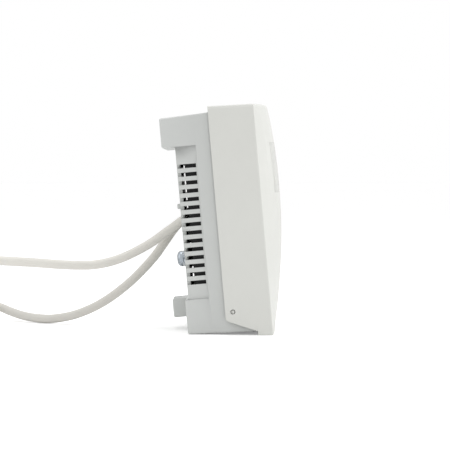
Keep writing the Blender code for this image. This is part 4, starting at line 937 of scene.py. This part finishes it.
class TIMER_OT_controls(bpy.types.Operator):
    """Dress the control panel: display with its figures, keys with their signs, and the slider"""

    bl_idname = "timer_look.controls"
    bl_label = "Dress the controls"

    def execute(self, context):
        settings = look(context)
        panel = moulded("panel_plastic", shaded(settings.housing_colour, 1.03), 0.42, settings.grain)
        key = moulded("key_plastic", (0.30, 0.32, 0.34), 0.5, 0.3 * MM)
        dark = moulded("knob_plastic", (0.05, 0.055, 0.06), 0.45, 0.3 * MM)
        ink = moulded("sign_ink", (0.75, 0.76, 0.76), 0.5, 0.2 * MM, 0.005 * MM)
        print_ink = moulded("panel_ink", (0.10, 0.11, 0.12), 0.55, 0.2 * MM, 0.005 * MM)
        face = display_face("display_field", (0.40, 0.44, 0.34))
        figure = moulded("display_figures", (0.02, 0.025, 0.02), 0.3, 0.2 * MM, 0.004 * MM)
        skin("control_panel", "housing", panel)
        skin("lcd_module", "housing", face)
        self.figures(figure)
        bodies = {
            "button_menu": "menu_key", "button_down": "down_key",
            "button_up": "up_key", "button_ok": "ok_key",
        }
        for (node, body), x in zip(bodies.items(), KEY_XS):
            skin(node, body, key, 28.0)
            prisms(f"{node}_sign", self.sign(node, x), KEY_FACE, 0.12 * MM, ink, body)
        skin("mode_slider", "slider", dark, 28.0)
        ridges = []
        for place in (-1.6, 0.0, 1.6):
            x, high = place * MM, 1.9 * MM
            half = 0.3 * MM
            ridges.append(rectangle(x - half, x + half, SLIDER_HEIGHT - high, SLIDER_HEIGHT + high))
        prisms("mode_slider_grip", ridges, SLIDER_FACE, 0.35 * MM, dark, "slider")
        marks = []
        for place in (-4.0, 0.0, 4.0):
            x, low, size = place * MM, SLIDER_HEIGHT + 3.9 * MM, 0.35 * MM
            marks.append(rectangle(x - size, x + size, low, low + 1.6 * MM))
        prisms("slider_marks", marks, PANEL_FRONT, 0.05 * MM, print_ink)
        return {"FINISHED"}

    def figures(self, finish):
        """The time in large figures, and a bar for each hour below it."""
        outlines = []
        base, height, width, thick = LCD_BOTTOM + 13.0 * MM, 13.0 * MM, 6.6 * MM, 1.5 * MM
        for digit, place in zip((1, 2, 3, 0), (-21.5, -10.5, 4.5, 15.5)):
            outlines += segment_outlines(digit, place * MM, base, width, height, thick)
        for share in (0.3, 0.7):
            x, z, size = 0.3 * MM, base + share * height, 0.7 * MM
            outlines.append(rectangle(x - size, x + size, z - size, z + size))
        for hour in range(24):
            x = (hour - 11.5) * 2.0 * MM
            tall = 3.0 * MM if hour in (6, 7, 8, 17, 18, 19, 20, 21) else 1.0 * MM
            low, half = LCD_BOTTOM + 5.5 * MM, 0.65 * MM
            outlines.append(rectangle(x - half, x + half, low, low + tall))
        prisms("display_figures", outlines, LCD_FRONT, 0.04 * MM, finish)

    def sign(self, node, x):
        """A plain sign for a key: bars, an arrow down or up, or a round dot."""
        z = KEY_HEIGHT
        if node == "button_menu":
            bars = []
            for rise in (-1.1, 0.0, 1.1):
                low = z + (rise - 0.25) * MM
                high = low + 0.5 * MM
                bars.append(rectangle(x - SIGN_HALF, x + SIGN_HALF, low, high))
            return bars
        if node == "button_ok":
            points = []
            for step in range(16):
                angle = 2 * math.pi * step / 16
                points.append((x + SIGN_RISE * math.cos(angle), z + SIGN_RISE * math.sin(angle)))
            return [points]
        way = 1 if node == "button_up" else -1
        foot = z - way * 0.9 * MM
        return [[(x - SIGN_HALF, foot), (x + SIGN_HALF, foot), (x, z + way * SIGN_RISE)]]


class TIMER_OT_stage(bpy.types.Operator):
    """Set the floor, the lights and the camera"""

    bl_idname = "timer_look.stage"
    bl_label = "Set the stage"

    def execute(self, context):
        scene = context.scene
        settings = scene.timer_stage
        scene.view_settings.view_transform = "Standard"
        self.floor()
        self.lights(settings)
        world = bpy.data.worlds.new("surroundings")
        world.use_nodes = True
        tree = world.node_tree
        background = tree.nodes["Background"]
        background.inputs["Color"].default_value = (1.0, 1.0, 1.0, 1.0)
        rays = tree.nodes.new("ShaderNodeLightPath")
        seen = rays.outputs["Is Camera Ray"]
        for kind in ("Is Glossy Ray", "Is Transmission Ray"):
            either = tree.nodes.new("ShaderNodeMath")
            either.operation = "MAXIMUM"
            tree.links.new(seen, either.inputs[0])
            tree.links.new(rays.outputs[kind], either.inputs[1])
            seen = either.outputs["Value"]
        level = tree.nodes.new("ShaderNodeMapRange")
        level.inputs["To Min"].default_value = settings.world_strength
        level.inputs["To Max"].default_value = 1.0
        tree.links.new(seen, level.inputs["Value"])
        tree.links.new(level.outputs["Result"], background.inputs["Strength"])
        scene.world = world
        lens = bpy.data.cameras.new("camera")
        lens.sensor_width = SENSOR_MM
        lens.lens = settings.focal_pixels / IMAGE_WIDTH * SENSOR_MM
        lens.clip_start = 0.01
        camera = bpy.data.objects.new("camera", lens)
        scene.collection.objects.link(camera)
        camera.location = settings.camera_place
        camera.rotation_euler = (math.pi / 2 - settings.tilt, 0, -math.pi / 2)
        scene.camera = camera
        return {"FINISHED"}

    def floor(self):
        """A flat pale floor, wide enough to reach the horizon."""
        form = bmesh.new()
        bmesh.ops.create_circle(form, cap_ends=True, segments=48, radius=30.0)
        mesh = bpy.data.meshes.new("floor")
        form.to_mesh(mesh)
        form.free()
        made = Nodes("floor_paper")
        made.colour(made.tint(made.noise(14.0, 3.0), (0.95, 0.95, 0.95), (0.97, 0.97, 0.97)))
        made.shader.inputs["Roughness"].default_value = 0.85
        made.shader.inputs["Specular IOR Level"].default_value = 0.2
        made.shader.inputs["Emission Color"].default_value = (1.0, 1.0, 1.0, 1.0)
        seen = made.add("ShaderNodeLightPath").outputs["Is Camera Ray"]
        made.link(made.maths("MULTIPLY", seen, FLOOR_LIFT), made.shader.inputs["Emission Strength"])
        mesh.materials.append(made.material)
        floor = bpy.data.objects.new("floor", mesh)
        bpy.context.scene.collection.objects.link(floor)

    def lights(self, settings):
        """Large soft lights at the timer's back and front, and one above."""
        middle = Vector((0, 0, 0.07))
        table = (
            ("back_light", (-0.15, 0.95, 0.45), settings.back_power, 0.9),
            ("front_light", (-0.15, -0.95, 0.45), settings.front_power, 0.9),
            ("top_light", (0.1, 0.0, 1.1), settings.top_power, 0.8),
        )
        for name, place, power, size in table:
            lamp = bpy.data.lights.new(name, "AREA")
            lamp.energy = power
            lamp.size = size
            made = bpy.data.objects.new(name, lamp)
            made.location = place
            made.rotation_euler = (middle - Vector(place)).to_track_quat("-Z", "Y").to_euler()
            bpy.context.scene.collection.objects.link(made)


class TIMER_PT_looks(bpy.types.Panel):
    """Settings and steps of the timer's looks"""

    bl_idname = "TIMER_PT_looks"
    bl_label = "Timer looks"
    bl_space_type = "VIEW_3D"
    bl_region_type = "UI"
    bl_category = "Timer"

    def draw(self, context):
        layout = self.layout
        for group in (context.scene.timer_look, context.scene.timer_stage):
            for name in group.__annotations__:
                layout.prop(group, name)
        for operator in OPERATORS:
            layout.operator(operator.bl_idname)


GROUPS = (TimerLook, TimerStage)
OPERATORS = (
    TIMER_OT_stage, TIMER_OT_leads, TIMER_OT_shells, TIMER_OT_screws, TIMER_OT_electronics, TIMER_OT_controls,
)
CLASSES = (*GROUPS, *OPERATORS, TIMER_PT_looks)


def register():
    for item in CLASSES:
        bpy.utils.register_class(item)
    bpy.types.Scene.timer_look = PointerProperty(type=TimerLook)
    bpy.types.Scene.timer_stage = PointerProperty(type=TimerStage)


def unregister():
    del bpy.types.Scene.timer_stage
    del bpy.types.Scene.timer_look
    for item in reversed(CLASSES):
        bpy.utils.unregister_class(item)


def main():
    register()
    bpy.ops.timer_look.stage()
    bpy.ops.timer_look.leads()
    bpy.ops.timer_look.shells()
    bpy.ops.timer_look.screws()
    bpy.ops.timer_look.electronics()
    bpy.ops.timer_look.controls()


if __name__ == "__main__":
    main()
